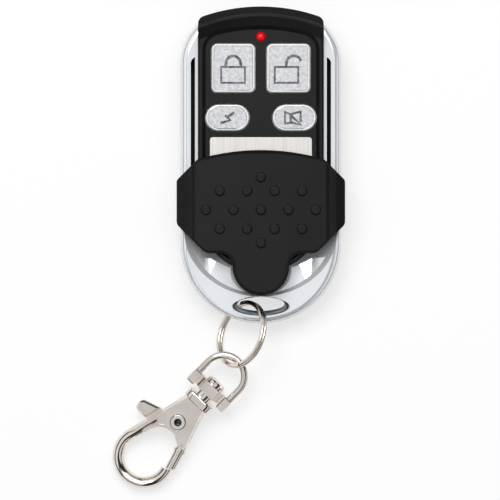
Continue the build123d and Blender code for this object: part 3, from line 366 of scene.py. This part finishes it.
def red_epoxy(style):
    """Diffused red epoxy of a small lamp: glossy skin, light scattered inside."""
    material, tree, surface = new_material(
        "diffused_red_epoxy",
        IOR=1.54,
        Specular_IOR_Level=0.3,
        Base_Color=linear(style.lamp_colour_hex),
        Subsurface_Weight=0.3,
        Subsurface_Radius=(0.6 * MM, 0.1 * MM, 0.1 * MM),
        Subsurface_Scale=1.0,
        Emission_Color=linear("#ff1018"),
        Emission_Strength=0.15,
    )
    skin = grain(tree, size=0.3 * MM, detail=2.0)
    dress(tree, surface, skin, gloss=(0.12, 0.22))
    return material


def tumbling_marks(tree, surface):
    """Faint marks that nickel plate keeps from barrel polishing: a mirror, less sharp in spots."""
    marks = grain(tree, size=1.2 * MM)
    dress(tree, surface, marks, gloss=(0.06, 0.13), depth=0.002 * MM)


def cast_nickel():
    """Bright nickel plate on die-cast zinc: warm mirror with faint tumbling marks."""
    material, tree, surface = new_material("cast_nickel_plate", Metallic=1.0)
    cloud = grain(tree, size=3 * MM, detail=2.0)
    dress(tree, surface, cloud, tones=("#dbd2c9", "#e8e1d9"))
    tumbling_marks(tree, surface)
    return material


def ring_plate(style):
    """Nickel plate on the split ring, with painted shade on the dark gap between its two turns."""
    material, tree, surface = new_material("ring_nickel_plate", Metallic=1.0)
    tilt, turn = style.ring_tilt, style.ring_turn
    axis = (-math.sin(tilt) * math.cos(turn), math.sin(tilt) * math.sin(turn), math.cos(tilt))
    along = add_node(
        tree,
        "ShaderNodeVectorMath",
        {0: from_place(tree, middle_of("split_ring")), 1: axis},
        operation="DOT_PRODUCT",
    )
    off_seam = add_node(tree, "ShaderNodeMath", {0: along.outputs["Value"]}, operation="ABSOLUTE")
    # The dark tones at the gap between the turns are painted shade
    tone_by_distance(tree, surface, off_seam.outputs[0], style.seam_shade_reach, SEAM_SHADE_TONES)
    tumbling_marks(tree, surface)
    return material


def rivet_plate(style):
    """Nickel plate on the hollow rivet, with painted shade in its bore and round the edge of its heads.
    """
    material, tree, surface = new_material("rivet_nickel_plate", Metallic=1.0)
    across = add_node(
        tree,
        "ShaderNodeVectorMath",
        {0: from_place(tree, middle_of("trigger_rivet")), 1: joint_axis("trigger_pivot")},
        operation="CROSS_PRODUCT",
    )
    radius = add_node(tree, "ShaderNodeVectorMath", {0: across.outputs["Vector"]}, operation="LENGTH")
    # Dark tones in the bore and round the heads' edge are painted shade
    tone_by_distance(tree, surface, radius.outputs["Value"], style.rivet_head / 2, RIVET_SHADE_TONES)
    tumbling_marks(tree, surface)
    return material


def drawn_wire():
    """Drawn spring steel: grey, finely marked by the die."""
    material, tree, surface = new_material("drawn_spring_steel", Metallic=1.0)
    marks = grain(tree, size=0.08 * MM)
    dress(tree, surface, marks, tones=("#8d8b88", "#b3b0ac"), gloss=(0.22, 0.34), depth=0.002 * MM)
    return material


def blackened_steel(name):
    """Black oxide on turned steel: dark and oiled, with paler scuffed spots. On the rivet's pin its dark
    stands for painted shade.
    """
    material, tree, surface = new_material(name, Metallic=1.0)
    wear_and_highlight = grain(tree, size=0.4 * MM, detail=4.0, roughness=0.7)
    tones = ("#2c2d2f", "#5c5d60")
    dress(tree, surface, wear_and_highlight, tones=tones, gloss=(0.3, 0.42), depth=0.003 * MM, reach=(0.4, 0.75))
    return material


def board_laminate():
    """Glass-epoxy laminate under green solder mask: glossy, with the weave just showing."""
    material, tree, surface = new_material("solder_masked_laminate", IOR=1.55)
    place = add_node(tree, "ShaderNodeTexCoord")
    # The glass threads, about 0.5 mm apart, are drawn 1 mm apart, which this node does at 2.2 mm
    weave = add_node(
        tree,
        "ShaderNodeTexWave",
        {"Vector": place.outputs["Object"], "Scale": 1 / (2.2 * MM), "Distortion": 0.4},
        bands_direction="DIAGONAL",
    )
    threads = weave.outputs["Fac"]
    tones = ("#123f22", "#1a5a30")
    dress(tree, surface, threads, tones=tones, gloss=(0.2, 0.3), depth=0.002 * MM, reach=(0.2, 0.8))
    return material


def moulded_epoxy():
    """Black epoxy moulding compound: dull, slightly pitted."""
    material, tree, surface = new_material("epoxy_moulding", IOR=1.5)
    pits = grain(tree, size=0.12 * MM)
    dress(tree, surface, pits, tones=("#161616", "#242424"), gloss=(0.55, 0.7), depth=0.006 * MM)
    return material


def tinned_sheet():
    """Tin-plated or stainless sheet and cans: pale grey, softly streaked from rolling."""
    material, tree, surface = new_material("tinned_sheet", Metallic=1.0)
    streaks = grain(tree, size=0.1 * MM, stretch=(1.0, 0.08, 1.0))
    dress(tree, surface, streaks, tones=("#bdbdbb", "#d8d8d6"), gloss=(0.2, 0.34), depth=0.001 * MM)
    return material


def enamelled_copper():
    """Enamelled copper wire: amber lacquer over bright copper."""
    material, tree, surface = new_material("enamelled_copper", Metallic=1.0, Coat_Weight=0.8)
    cloud = grain(tree, size=0.6 * MM, detail=2.0)
    dress(tree, surface, cloud, tones=("#b2643a", "#cf8450"), gloss=(0.15, 0.25), depth=0.002 * MM)
    return material


def finish_nodes(material, *names):
    """Give CAD pieces a finish in place of the plain one they came with."""
    for name in names:
        mesh = frame["nodes"][name].data
        mesh.materials.clear()
        mesh.materials.append(material)


def linked(name, data):
    """New object in the scene."""
    made = bpy.data.objects.new(name, data)
    bpy.context.collection.objects.link(made)
    return made


def real_mesh(carrier, name):
    """Plain mesh object from a carrier's evaluated geometry. The carrier is removed."""
    evaluated = carrier.evaluated_get(bpy.context.evaluated_depsgraph_get())
    mesh = bpy.data.meshes.new_from_object(evaluated)
    mesh.name = name
    bpy.data.objects.remove(carrier)
    return linked(name, mesh)


def turned(name, profile, middle, axis, finish, sides=32):
    """A solid turned about an axis, from (radius, height) pairs that start and end on the axis."""
    upright = Vector(axis).to_track_quat("Z", "Y").to_matrix().to_4x4()
    place = Matrix.Translation(middle) @ upright
    corners = []
    rings = []
    for radius, height in profile:
        # A point on the axis is one corner, which its whole ring shares
        count = sides if radius else 1
        rings.append([len(corners) + step % count for step in range(sides)])
        for step in range(count):
            angle = math.tau * step / sides
            spot = Vector((radius * math.cos(angle), radius * math.sin(angle), height))
            corners.append(place @ spot)
    faces = []
    for lower, upper in zip(rings, rings[1:]):
        for here in range(sides):
            there = (here + 1) % sides
            around = (lower[here], lower[there], upper[there], upper[here])
            faces.append(tuple(dict.fromkeys(around)))
    mesh = bpy.data.meshes.new(name)
    mesh.from_pydata(corners, [], faces)
    mesh.materials.append(finish)
    return linked(name, mesh)


def stroke_tree():
    """Geometry nodes that turn pen strokes into bars with sloping sides and a material."""
    tree = bpy.data.node_groups.new("symbol_stroke", "GeometryNodeTree")
    given_inputs = (
        ("Strokes", "Geometry"),
        ("Width", "Float"),
        ("Floor Width", "Float"),
        ("Depth", "Float"),
        ("Finish", "Material"),
    )
    for name, kind in given_inputs:
        tree.interface.new_socket(name, in_out="INPUT", socket_type=f"NodeSocket{kind}")
    tree.interface.new_socket("Bars", in_out="OUTPUT", socket_type="NodeSocketGeometry")
    given = add_node(tree, "NodeGroupInput")
    upright = add_node(
        tree, "GeometryNodeSetCurveNormal", {"Curve": given.outputs["Strokes"]}, mode="Z_UP"
    )
    section = add_node(
        tree,
        "GeometryNodeCurvePrimitiveQuadrilateral",
        {
            "Height": given.outputs["Depth"],
            "Bottom Width": given.outputs["Floor Width"],
            "Top Width": given.outputs["Width"],
            "Offset": 0.0,
        },
        mode="TRAPEZOID",
    )
    swept = {"Curve": upright.outputs["Curve"], "Profile Curve": section.outputs["Curve"]}
    bars = add_node(tree, "GeometryNodeCurveToMesh", {**swept, "Fill Caps": True})
    real = add_node(tree, "GeometryNodeRealizeInstances", {"Geometry": bars.outputs["Mesh"]})
    finished = add_node(
        tree,
        "GeometryNodeSetMaterial",
        {"Geometry": real.outputs["Geometry"], "Material": given.outputs["Finish"]},
    )
    result = add_node(tree, "NodeGroupOutput")
    tree.links.new(finished.outputs["Geometry"], result.inputs["Bars"])
    return tree


def input_id(tree, name):
    """Identifier of a node group's input, which its modifier is keyed by."""
    inputs = [item for item in tree.interface.items_tree if item.in_out == "INPUT"]
    return next(item.identifier for item in inputs if item.name == name)


def symbol_bars(kind, tree, finish, style):
    """One button's symbol as bars that reach from the engraving's floor to above the cap's face."""
    middle_x, middle_y, _ = middle_of(f"{kind}_button")
    face_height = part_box(f"{kind}_button")[1][2]
    curve = bpy.data.curves.new(f"{kind}_strokes", "CURVE")
    curve.dimensions = "3D"
    for stroke, closed in SYMBOLS[kind]:
        spline = curve.splines.new("POLY")
        spline.points.add(len(stroke) - 1)
        spline.use_cyclic_u = closed
        for point, (x, y) in zip(spline.points, stroke):
            point.co = (middle_x + x * MM, middle_y + y * MM, face_height, 1.0)
    carrier = linked(f"{kind}_strokes", curve)
    modifier = carrier.modifiers.new("strokes", "NODES")
    modifier.node_group = tree
    # The bars stand half above the face, where their sides have spread by as much again
    sizes = {
        "Width": 2 * style.stroke_width - style.stroke_floor,
        "Floor Width": style.stroke_floor,
        "Depth": 2 * style.stroke_depth,
        "Finish": finish,
    }
    for name, value in sizes.items():
        modifier[input_id(tree, name)] = value
    return real_mesh(carrier, f"{kind}_bars")


def rimmed_blank(kind, paint, wear_and_highlight, style):
    """One button's cap before its symbol is cut: a merged copy of the CAD cap, with a rim of painted
    highlight.
    """
    mesh = frame["nodes"][f"{kind}_button"].data.copy()
    mesh.materials.clear()
    mesh.materials.append(paint)
    mesh.materials.append(wear_and_highlight)
    work = bmesh.new()
    work.from_mesh(mesh)
    bmesh.ops.remove_doubles(work, verts=work.verts, dist=MERGE_DISTANCE)
    top = max(vertex.co.z for vertex in work.verts)
    top_faces = [
        item for item in work.faces if min(vertex.co.z for vertex in item.verts) > top - FACE_DEPTH
    ]
    # The cap's sides and bevel take the near-white paint, a painted highlight
    for item in work.faces:
        item.material_index = RIM_HIGHLIGHT
    for item in top_faces:
        item.material_index = PAINT
    # A narrow band round the face takes it too, a painted highlight along the rim
    rim = bmesh.ops.inset_region(
        work, faces=top_faces, thickness=style.highlight_rim_width, use_even_offset=True
    )
    for item in rim["faces"]:
        item.material_index = RIM_HIGHLIGHT
    work.to_mesh(mesh)
    work.free()
    return linked(f"{kind}_blank", mesh)


def engraved_cap(kind, tree, finishes, style):
    """One button's cap with a rim of painted highlight and its symbol cut into it, with painted shade on
    the strokes' floors, in place of the plain CAD cap.
    """
    paint, wear_and_highlight, groove_shade = finishes
    blank = rimmed_blank(kind, paint, wear_and_highlight, style)
    bars = symbol_bars(kind, tree, groove_shade, style)
    # The cut faces take the bars' material, which joins the blank's two as its third
    cut = blank.modifiers.new("engrave", "BOOLEAN")
    cut.operation = "DIFFERENCE"
    cut.solver = "EXACT"
    cut.use_self = True
    cut.material_mode = "TRANSFER"
    cut.object = bars
    piece = real_mesh(blank, f"{kind}_cap")
    bpy.data.objects.remove(bars)
    for item in piece.data.polygons:
        engraved = item.material_index == GROOVE_SHADE
        sloping = item.normal.z < LEVEL_NORMAL
        item.use_smooth = sloping and not engraved
        # Paint covers the sloping sides of the strokes, and only their floors take the painted shade
        if engraved and sloping:
            item.material_index = PAINT
    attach(piece, f"{kind}_key")
    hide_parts(f"{kind}_button")
    return piece


def rivet_core():
    """Steel pin pressed into the hollow rivet, with a stepped cup at each end, dark as painted shade in
    the rivet's bore.
    """
    lower = [(radius * MM, -height * MM) for radius, height in CORE_CUP]
    upper = [(radius * MM, height * MM) for radius, height in reversed(CORE_CUP)]
    # The pin's dark finish is painted shade in the hollow rivet
    steel = blackened_steel("pin_painted_shade")
    middle = middle_of("trigger_rivet")
    piece = turned("rivet_core", lower + upper, middle, joint_axis("trigger_pivot"), steel)
    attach(piece, "hook")
    return piece


def soft_lamp(name, place, target, size, power):
    """Square softbox aimed at a point."""
    light = bpy.data.lights.new(name, "AREA")
    light.shape = "SQUARE"
    light.size = size
    light.energy = power
    lamp = linked(name, light)
    lamp.location = place
    lamp.rotation_euler = (Vector(target) - Vector(place)).to_track_quat("-Z", "Y").to_euler()
    return lamp


def pale_floor(studio):
    """White floor under the object: keeps its shadow, and looks white to camera, metal and glass."""
    mesh = bpy.data.meshes.new("floor")
    half = studio.floor_width / 2
    level = CAD_BOX[0][2] - FLOOR_GAP
    corners = [(-half, -half, level), (half, -half, level), (half, half, level), (-half, half, level)]
    mesh.from_pydata(corners, [], [(0, 1, 2, 3)])
    floor = linked("floor", mesh)
    material = bpy.data.materials.new("pale_floor")
    material.use_nodes = True
    tree = material.node_tree
    tree.nodes.clear()
    path = add_node(tree, "ShaderNodeLightPath")
    seen = path.outputs["Is Camera Ray"]
    for ray in ("Is Glossy Ray", "Is Transmission Ray"):
        either = add_node(tree, "ShaderNodeMath", {0: seen, 1: path.outputs[ray]}, operation="MAXIMUM")
        seen = either.outputs[0]
    lift = add_node(tree, "ShaderNodeMath", {0: seen, 1: studio.floor_lift}, operation="MULTIPLY")
    paper = add_node(tree, "ShaderNodeBsdfDiffuse", {"Color": linear(studio.floor_colour_hex)})
    glow = add_node(
        tree, "ShaderNodeEmission", {"Color": linear("#ffffff"), "Strength": lift.outputs[0]}
    )
    both = add_node(tree, "ShaderNodeAddShader", {0: paper.outputs[0], 1: glow.outputs[0]})
    result = add_node(tree, "ShaderNodeOutputMaterial")
    tree.links.new(both.outputs[0], result.inputs["Surface"])
    mesh.materials.append(material)


def mirror_panels(tree, place, way, levels):
    """Brightness of what metal mirrors, as a colour, by how far a ray points along one way."""
    along = add_node(tree, "ShaderNodeVectorMath", {0: place, 1: way}, operation="DOT_PRODUCT")
    spread = add_node(
        tree,
        "ShaderNodeMapRange",
        {"Value": along.outputs["Value"], "From Min": -1.0, "From Max": 1.0},
    )
    panels = add_node(tree, "ShaderNodeValToRGB", {"Fac": spread.outputs["Result"]})
    stops = []
    for position, level in levels:
        stops.append(((position + 1) / 2, tuple(level * part for part in PANEL_TINT) + (1.0,)))
    set_stops(panels.color_ramp, stops)
    return panels.outputs["Color"]


def studio_world(studio):
    """Pale studio: even light on surfaces, white behind them, and panels for metal to mirror."""
    world = bpy.data.worlds.new("studio")
    world.use_nodes = True
    bpy.context.scene.world = world
    tree = world.node_tree
    tree.nodes.clear()
    place = add_node(tree, "ShaderNodeTexCoord").outputs["Generated"]
    rise = mirror_panels(tree, place, RISE_WAY, RISE_LEVELS)
    lean = mirror_panels(tree, place, LEAN_WAY, LEAN_LEVELS)
    panels = add_node(tree, "ShaderNodeVectorMath", {0: rise, 1: lean}, operation="MULTIPLY")
    white = linear("#ffffff")
    mirrored = add_node(
        tree, "ShaderNodeBackground", {"Color": panels.outputs["Vector"], "Strength": 1.0}
    )
    even = add_node(tree, "ShaderNodeBackground", {"Color": white, "Strength": studio.world_level})
    behind = add_node(tree, "ShaderNodeBackground", {"Color": white, "Strength": 1.0})
    path = add_node(tree, "ShaderNodeLightPath")
    lit = add_node(
        tree,
        "ShaderNodeMixShader",
        {0: path.outputs["Is Glossy Ray"], 1: even.outputs[0], 2: mirrored.outputs[0]},
    )
    seen = add_node(
        tree,
        "ShaderNodeMixShader",
        {0: path.outputs["Is Camera Ray"], 1: lit.outputs[0], 2: behind.outputs[0]},
    )
    result = add_node(tree, "ShaderNodeOutputWorld")
    tree.links.new(seen.outputs[0], result.inputs["Surface"])


class TransmitterStyle(bpy.types.PropertyGroup):
    """Sizes and colours of the finishes."""

    grain_size: bpy.props.FloatProperty(
        name="Moulded grain",
        description="Width of one speck of the black plastic's grain",
        default=0.22 * MM,
        unit="LENGTH",
    )
    flake_size: bpy.props.FloatProperty(
        name="Paint flake",
        description="Width of one cloud of flakes in the silver paint",
        default=0.7 * MM,
        unit="LENGTH",
    )
    brush_spacing: bpy.props.FloatProperty(
        name="Brush spacing",
        description="Distance between brushed lines on the plate",
        default=0.14 * MM,
        unit="LENGTH",
    )
    highlight_rim_width: bpy.props.FloatProperty(
        name="Painted highlight rim",
        description="Width of the bright band round each cap's face",
        default=0.16 * MM,
        unit="LENGTH",
    )
    stroke_width: bpy.props.FloatProperty(
        name="Stroke width",
        description="Width of the engraved strokes at the cap's face",
        default=0.52 * MM,
        unit="LENGTH",
    )
    stroke_floor: bpy.props.FloatProperty(
        name="Stroke floor",
        description="Width of the engraved strokes at their floor",
        default=0.22 * MM,
        unit="LENGTH",
    )
    stroke_depth: bpy.props.FloatProperty(
        name="Stroke depth",
        description="Depth of the engraved strokes",
        default=0.16 * MM,
        unit="LENGTH",
    )
    rivet_head: bpy.props.FloatProperty(
        name="Rivet head",
        description="Diameter of the clasp's rivet heads",
        default=3.0 * MM,
        unit="LENGTH",
    )
    ring_tilt: bpy.props.FloatProperty(
        name="Ring tilt",
        description="Tilt of the split ring's axis from upright",
        default=math.radians(51.9),
        subtype="ANGLE",
    )
    ring_turn: bpy.props.FloatProperty(
        name="Ring turn",
        description="Turn of the split ring about upright",
        default=math.radians(20.4),
        subtype="ANGLE",
    )
    seam_shade_reach: bpy.props.FloatProperty(
        name="Ring gap shade",
        description="Reach of the dark gap's tones on the split ring",
        default=0.13 * MM,
        unit="LENGTH",
    )
    mouth_rise: bpy.props.FloatProperty(
        name="Eyelet rise",
        description="Distance of the eyelet's middle from the frame's end",
        default=3.3 * MM,
        unit="LENGTH",
    )
    mouth_size: bpy.props.FloatVectorProperty(
        name="Eyelet mouth",
        description="Half width and half height of the eyelet's mouth",
        size=2,
        default=(5.2 * MM, 1.72 * MM),
        unit="LENGTH",
    )
    casing_hex: bpy.props.StringProperty(
        name="Casing",
        description="Darkest colour of the black plastic, as sRGB hex",
        default="#0b0b0c",
    )
    casing_drift_hex: bpy.props.StringProperty(
        name="Casing drift",
        description="Colour that the black plastic drifts to, as sRGB hex",
        default="#101011",
    )
    paint_hex: bpy.props.StringProperty(
        name="Cap paint",
        description="Darkest colour of the caps' silver paint, as sRGB hex",
        default="#aaabaf",
    )
    paint_bright_hex: bpy.props.StringProperty(
        name="Cap paint, bright",
        description="Brightest colour of the caps' silver paint, as sRGB hex",
        default="#dcdde0",
    )
    plate_hex: bpy.props.StringProperty(
        name="Plate",
        description="Darkest colour of the brushed plate, as sRGB hex",
        default="#b2afab",
    )
    plate_line_hex: bpy.props.StringProperty(
        name="Plate lines",
        description="Colour of the brushed plate's bright lines, as sRGB hex",
        default="#cbc8c4",
    )
    lamp_colour_hex: bpy.props.StringProperty(
        name="Lamp",
        description="Colour of the signal lamp's epoxy, as sRGB hex",
        default="#d20a14",
    )


class TransmitterStudio(bpy.types.PropertyGroup):
    """Sizes and levels of the studio."""

    floor_width: bpy.props.FloatProperty(
        name="Floor width",
        description="Side of the square floor",
        default=3.0,
        unit="LENGTH",
    )
    floor_colour_hex: bpy.props.StringProperty(
        name="Floor",
        description="Colour of the floor's paper, as sRGB hex",
        default="#9d9d9d",
    )
    floor_lift: bpy.props.FloatProperty(
        name="Floor lift",
        description="Light added to the floor where camera and metal see it",
        default=0.66,
    )
    world_level: bpy.props.FloatProperty(
        name="World level",
        description="Even light from all round",
        default=0.37,
    )
    key_place: bpy.props.FloatVectorProperty(
        name="Key place",
        description="Place of the key softbox",
        size=3,
        default=(-0.16, 0.38, 0.85),
        unit="LENGTH",
    )
    key_power: bpy.props.FloatProperty(
        name="Key lamp",
        description="Power of the key softbox in watts",
        default=5.3,
    )
    fill_place: bpy.props.FloatVectorProperty(
        name="Fill place",
        description="Place of the fill softbox",
        size=3,
        default=(0.22, 0.42, 0.8),
        unit="LENGTH",
    )
    fill_power: bpy.props.FloatProperty(
        name="Fill lamp",
        description="Power of the fill softbox in watts",
        default=1.5,
    )
    lamp_size: bpy.props.FloatProperty(
        name="Lamp size",
        description="Side of each square softbox",
        default=0.5,
        unit="LENGTH",
    )
    camera_height: bpy.props.FloatProperty(
        name="Camera height",
        description="Height of the camera above the surface",
        default=1.6,
        unit="LENGTH",
    )
    view_width: bpy.props.FloatProperty(
        name="View width",
        description="Width of the surface that the camera takes in",
        default=95.42 * MM,
        unit="LENGTH",
    )
    view_middle: bpy.props.FloatVectorProperty(
        name="View middle",
        description="Place straight under the camera",
        size=2,
        default=(-2.06 * MM, -16.09 * MM),
        unit="LENGTH",
    )


class FinishMouldings(bpy.types.Operator):
    """Give the black mouldings their textured ABS."""

    bl_idname = "transmitter.finish_mouldings"
    bl_label = "Black mouldings"

    def execute(self, context):
        style = context.scene.transmitter_style
        finish_nodes(black_abs(style), "front_casing", "back_casing", "slide_cover")
        return {"FINISHED"}


class FinishFrame(bpy.types.Operator):
    """Give the frame its chrome plate."""

    bl_idname = "transmitter.finish_frame"
    bl_label = "Chromed frame"

    def execute(self, context):
        finish_nodes(bright_chrome(context.scene.transmitter_style), "chrome_frame")
        return {"FINISHED"}


class MakeCaps(bpy.types.Operator):
    """Make the four silver-painted caps with their engraved symbols."""

    bl_idname = "transmitter.make_caps"
    bl_label = "Caps and symbols"

    def execute(self, context):
        style = context.scene.transmitter_style
        finishes = (satin_paint(style), rim_highlight_paint(style), engraving_shade())
        tree = stroke_tree()
        for kind in SYMBOLS:
            engraved_cap(kind, tree, finishes, style)
        return {"FINISHED"}


class FinishPlate(bpy.types.Operator):
    """Give the bare plate its brushed aluminium."""

    bl_idname = "transmitter.finish_plate"
    bl_label = "Brushed plate"

    def execute(self, context):
        finish_nodes(brushed_aluminium(context.scene.transmitter_style), "label_plate")
        return {"FINISHED"}


class FinishLamp(bpy.types.Operator):
    """Give the signal lamp its red epoxy."""

    bl_idname = "transmitter.finish_lamp"
    bl_label = "Signal lamp"

    def execute(self, context):
        finish_nodes(red_epoxy(context.scene.transmitter_style), "led")
        return {"FINISHED"}


class FinishFittings(bpy.types.Operator):
    """Give the ring, the swivel and the clasp their nickel plate, and the spring its steel."""

    bl_idname = "transmitter.finish_fittings"
    bl_label = "Ring and clasp"

    def execute(self, context):
        style = context.scene.transmitter_style
        finish_nodes(cast_nickel(), "swivel_bail", "swivel_post", "clasp_body", "clasp_trigger")
        finish_nodes(rivet_plate(style), "trigger_rivet")
        rivet_core()
        finish_nodes(ring_plate(style), "split_ring")
        finish_nodes(drawn_wire(), "trigger_spring")
        return {"FINISHED"}


class FinishWorks(bpy.types.Operator):
    """Give the board, its parts, the cell, the contacts and the screws their finishes."""

    bl_idname = "transmitter.finish_works"
    bl_label = "Board, cell and screws"

    def execute(self, context):
        finish_nodes(board_laminate(), "circuit_board")
        stems = [f"{kind}_stem" for kind in SYMBOLS]
        finish_nodes(moulded_epoxy(), "switch_bases", "encoder_chip", "small_components", *stems)
        tinned = ("switch_covers", "battery", "positive_contact", "negative_contact", "saw_resonator")
        finish_nodes(tinned_sheet(), *tinned)
        finish_nodes(enamelled_copper(), "antenna_loop")
        finish_nodes(blackened_steel("black_oxide_screws"), "case_screws")
        return {"FINISHED"}


class SetStage(bpy.types.Operator):
    """Lay the floor, hang the lamps and stand the camera straight above the object."""

    bl_idname = "transmitter.set_stage"
    bl_label = "Studio"

    def execute(self, context):
        studio = context.scene.transmitter_studio
        pale_floor(studio)
        studio_world(studio)
        middle = (studio.view_middle[0], studio.view_middle[1], 0.0)
        soft_lamp("key_softbox", studio.key_place, middle, studio.lamp_size, studio.key_power)
        soft_lamp("fill_softbox", studio.fill_place, middle, studio.lamp_size, studio.fill_power)
        camera = bpy.data.cameras.new("camera")
        camera.sensor_width = FILM_WIDTH
        camera.lens = FILM_WIDTH * studio.camera_height / studio.view_width
        camera.clip_start = CLIP_START
        stand = linked("camera", camera)
        stand.location = (middle[0], middle[1], studio.camera_height)
        context.scene.camera = stand
        context.scene.view_settings.view_transform = "Standard"
        return {"FINISHED"}


STEPS = (
    FinishMouldings,
    FinishFrame,
    MakeCaps,
    FinishPlate,
    FinishLamp,
    FinishFittings,
    FinishWorks,
    SetStage,
)


class TransmitterPanel(bpy.types.Panel):
    """Sidebar panel with each step and its sizes."""

    bl_idname = "VIEW3D_PT_transmitter"
    bl_label = "Remote transmitter"
    bl_space_type = "VIEW_3D"
    bl_region_type = "UI"
    bl_category = "Transmitter"

    def draw(self, context):
        for group in (context.scene.transmitter_style, context.scene.transmitter_studio):
            for name in group.__annotations__:
                self.layout.prop(group, name)
        for step in STEPS:
            self.layout.operator(step.bl_idname)


CLASSES = (TransmitterStyle, TransmitterStudio, *STEPS, TransmitterPanel)


def register():
    """Register the classes and hang the property groups on the scene."""
    for item in CLASSES:
        bpy.utils.register_class(item)
    bpy.types.Scene.transmitter_style = bpy.props.PointerProperty(type=TransmitterStyle)
    bpy.types.Scene.transmitter_studio = bpy.props.PointerProperty(type=TransmitterStudio)


def unregister():
    """Undo register."""
    del bpy.types.Scene.transmitter_studio
    del bpy.types.Scene.transmitter_style
    for item in reversed(CLASSES):
        bpy.utils.unregister_class(item)


def main():
    """Run every step."""
    register()
    bpy.ops.transmitter.finish_mouldings()
    bpy.ops.transmitter.finish_frame()
    bpy.ops.transmitter.make_caps()
    bpy.ops.transmitter.finish_plate()
    bpy.ops.transmitter.finish_lamp()
    bpy.ops.transmitter.finish_fittings()
    bpy.ops.transmitter.finish_works()
    bpy.ops.transmitter.set_stage()


if __name__ == "__main__":
    main()
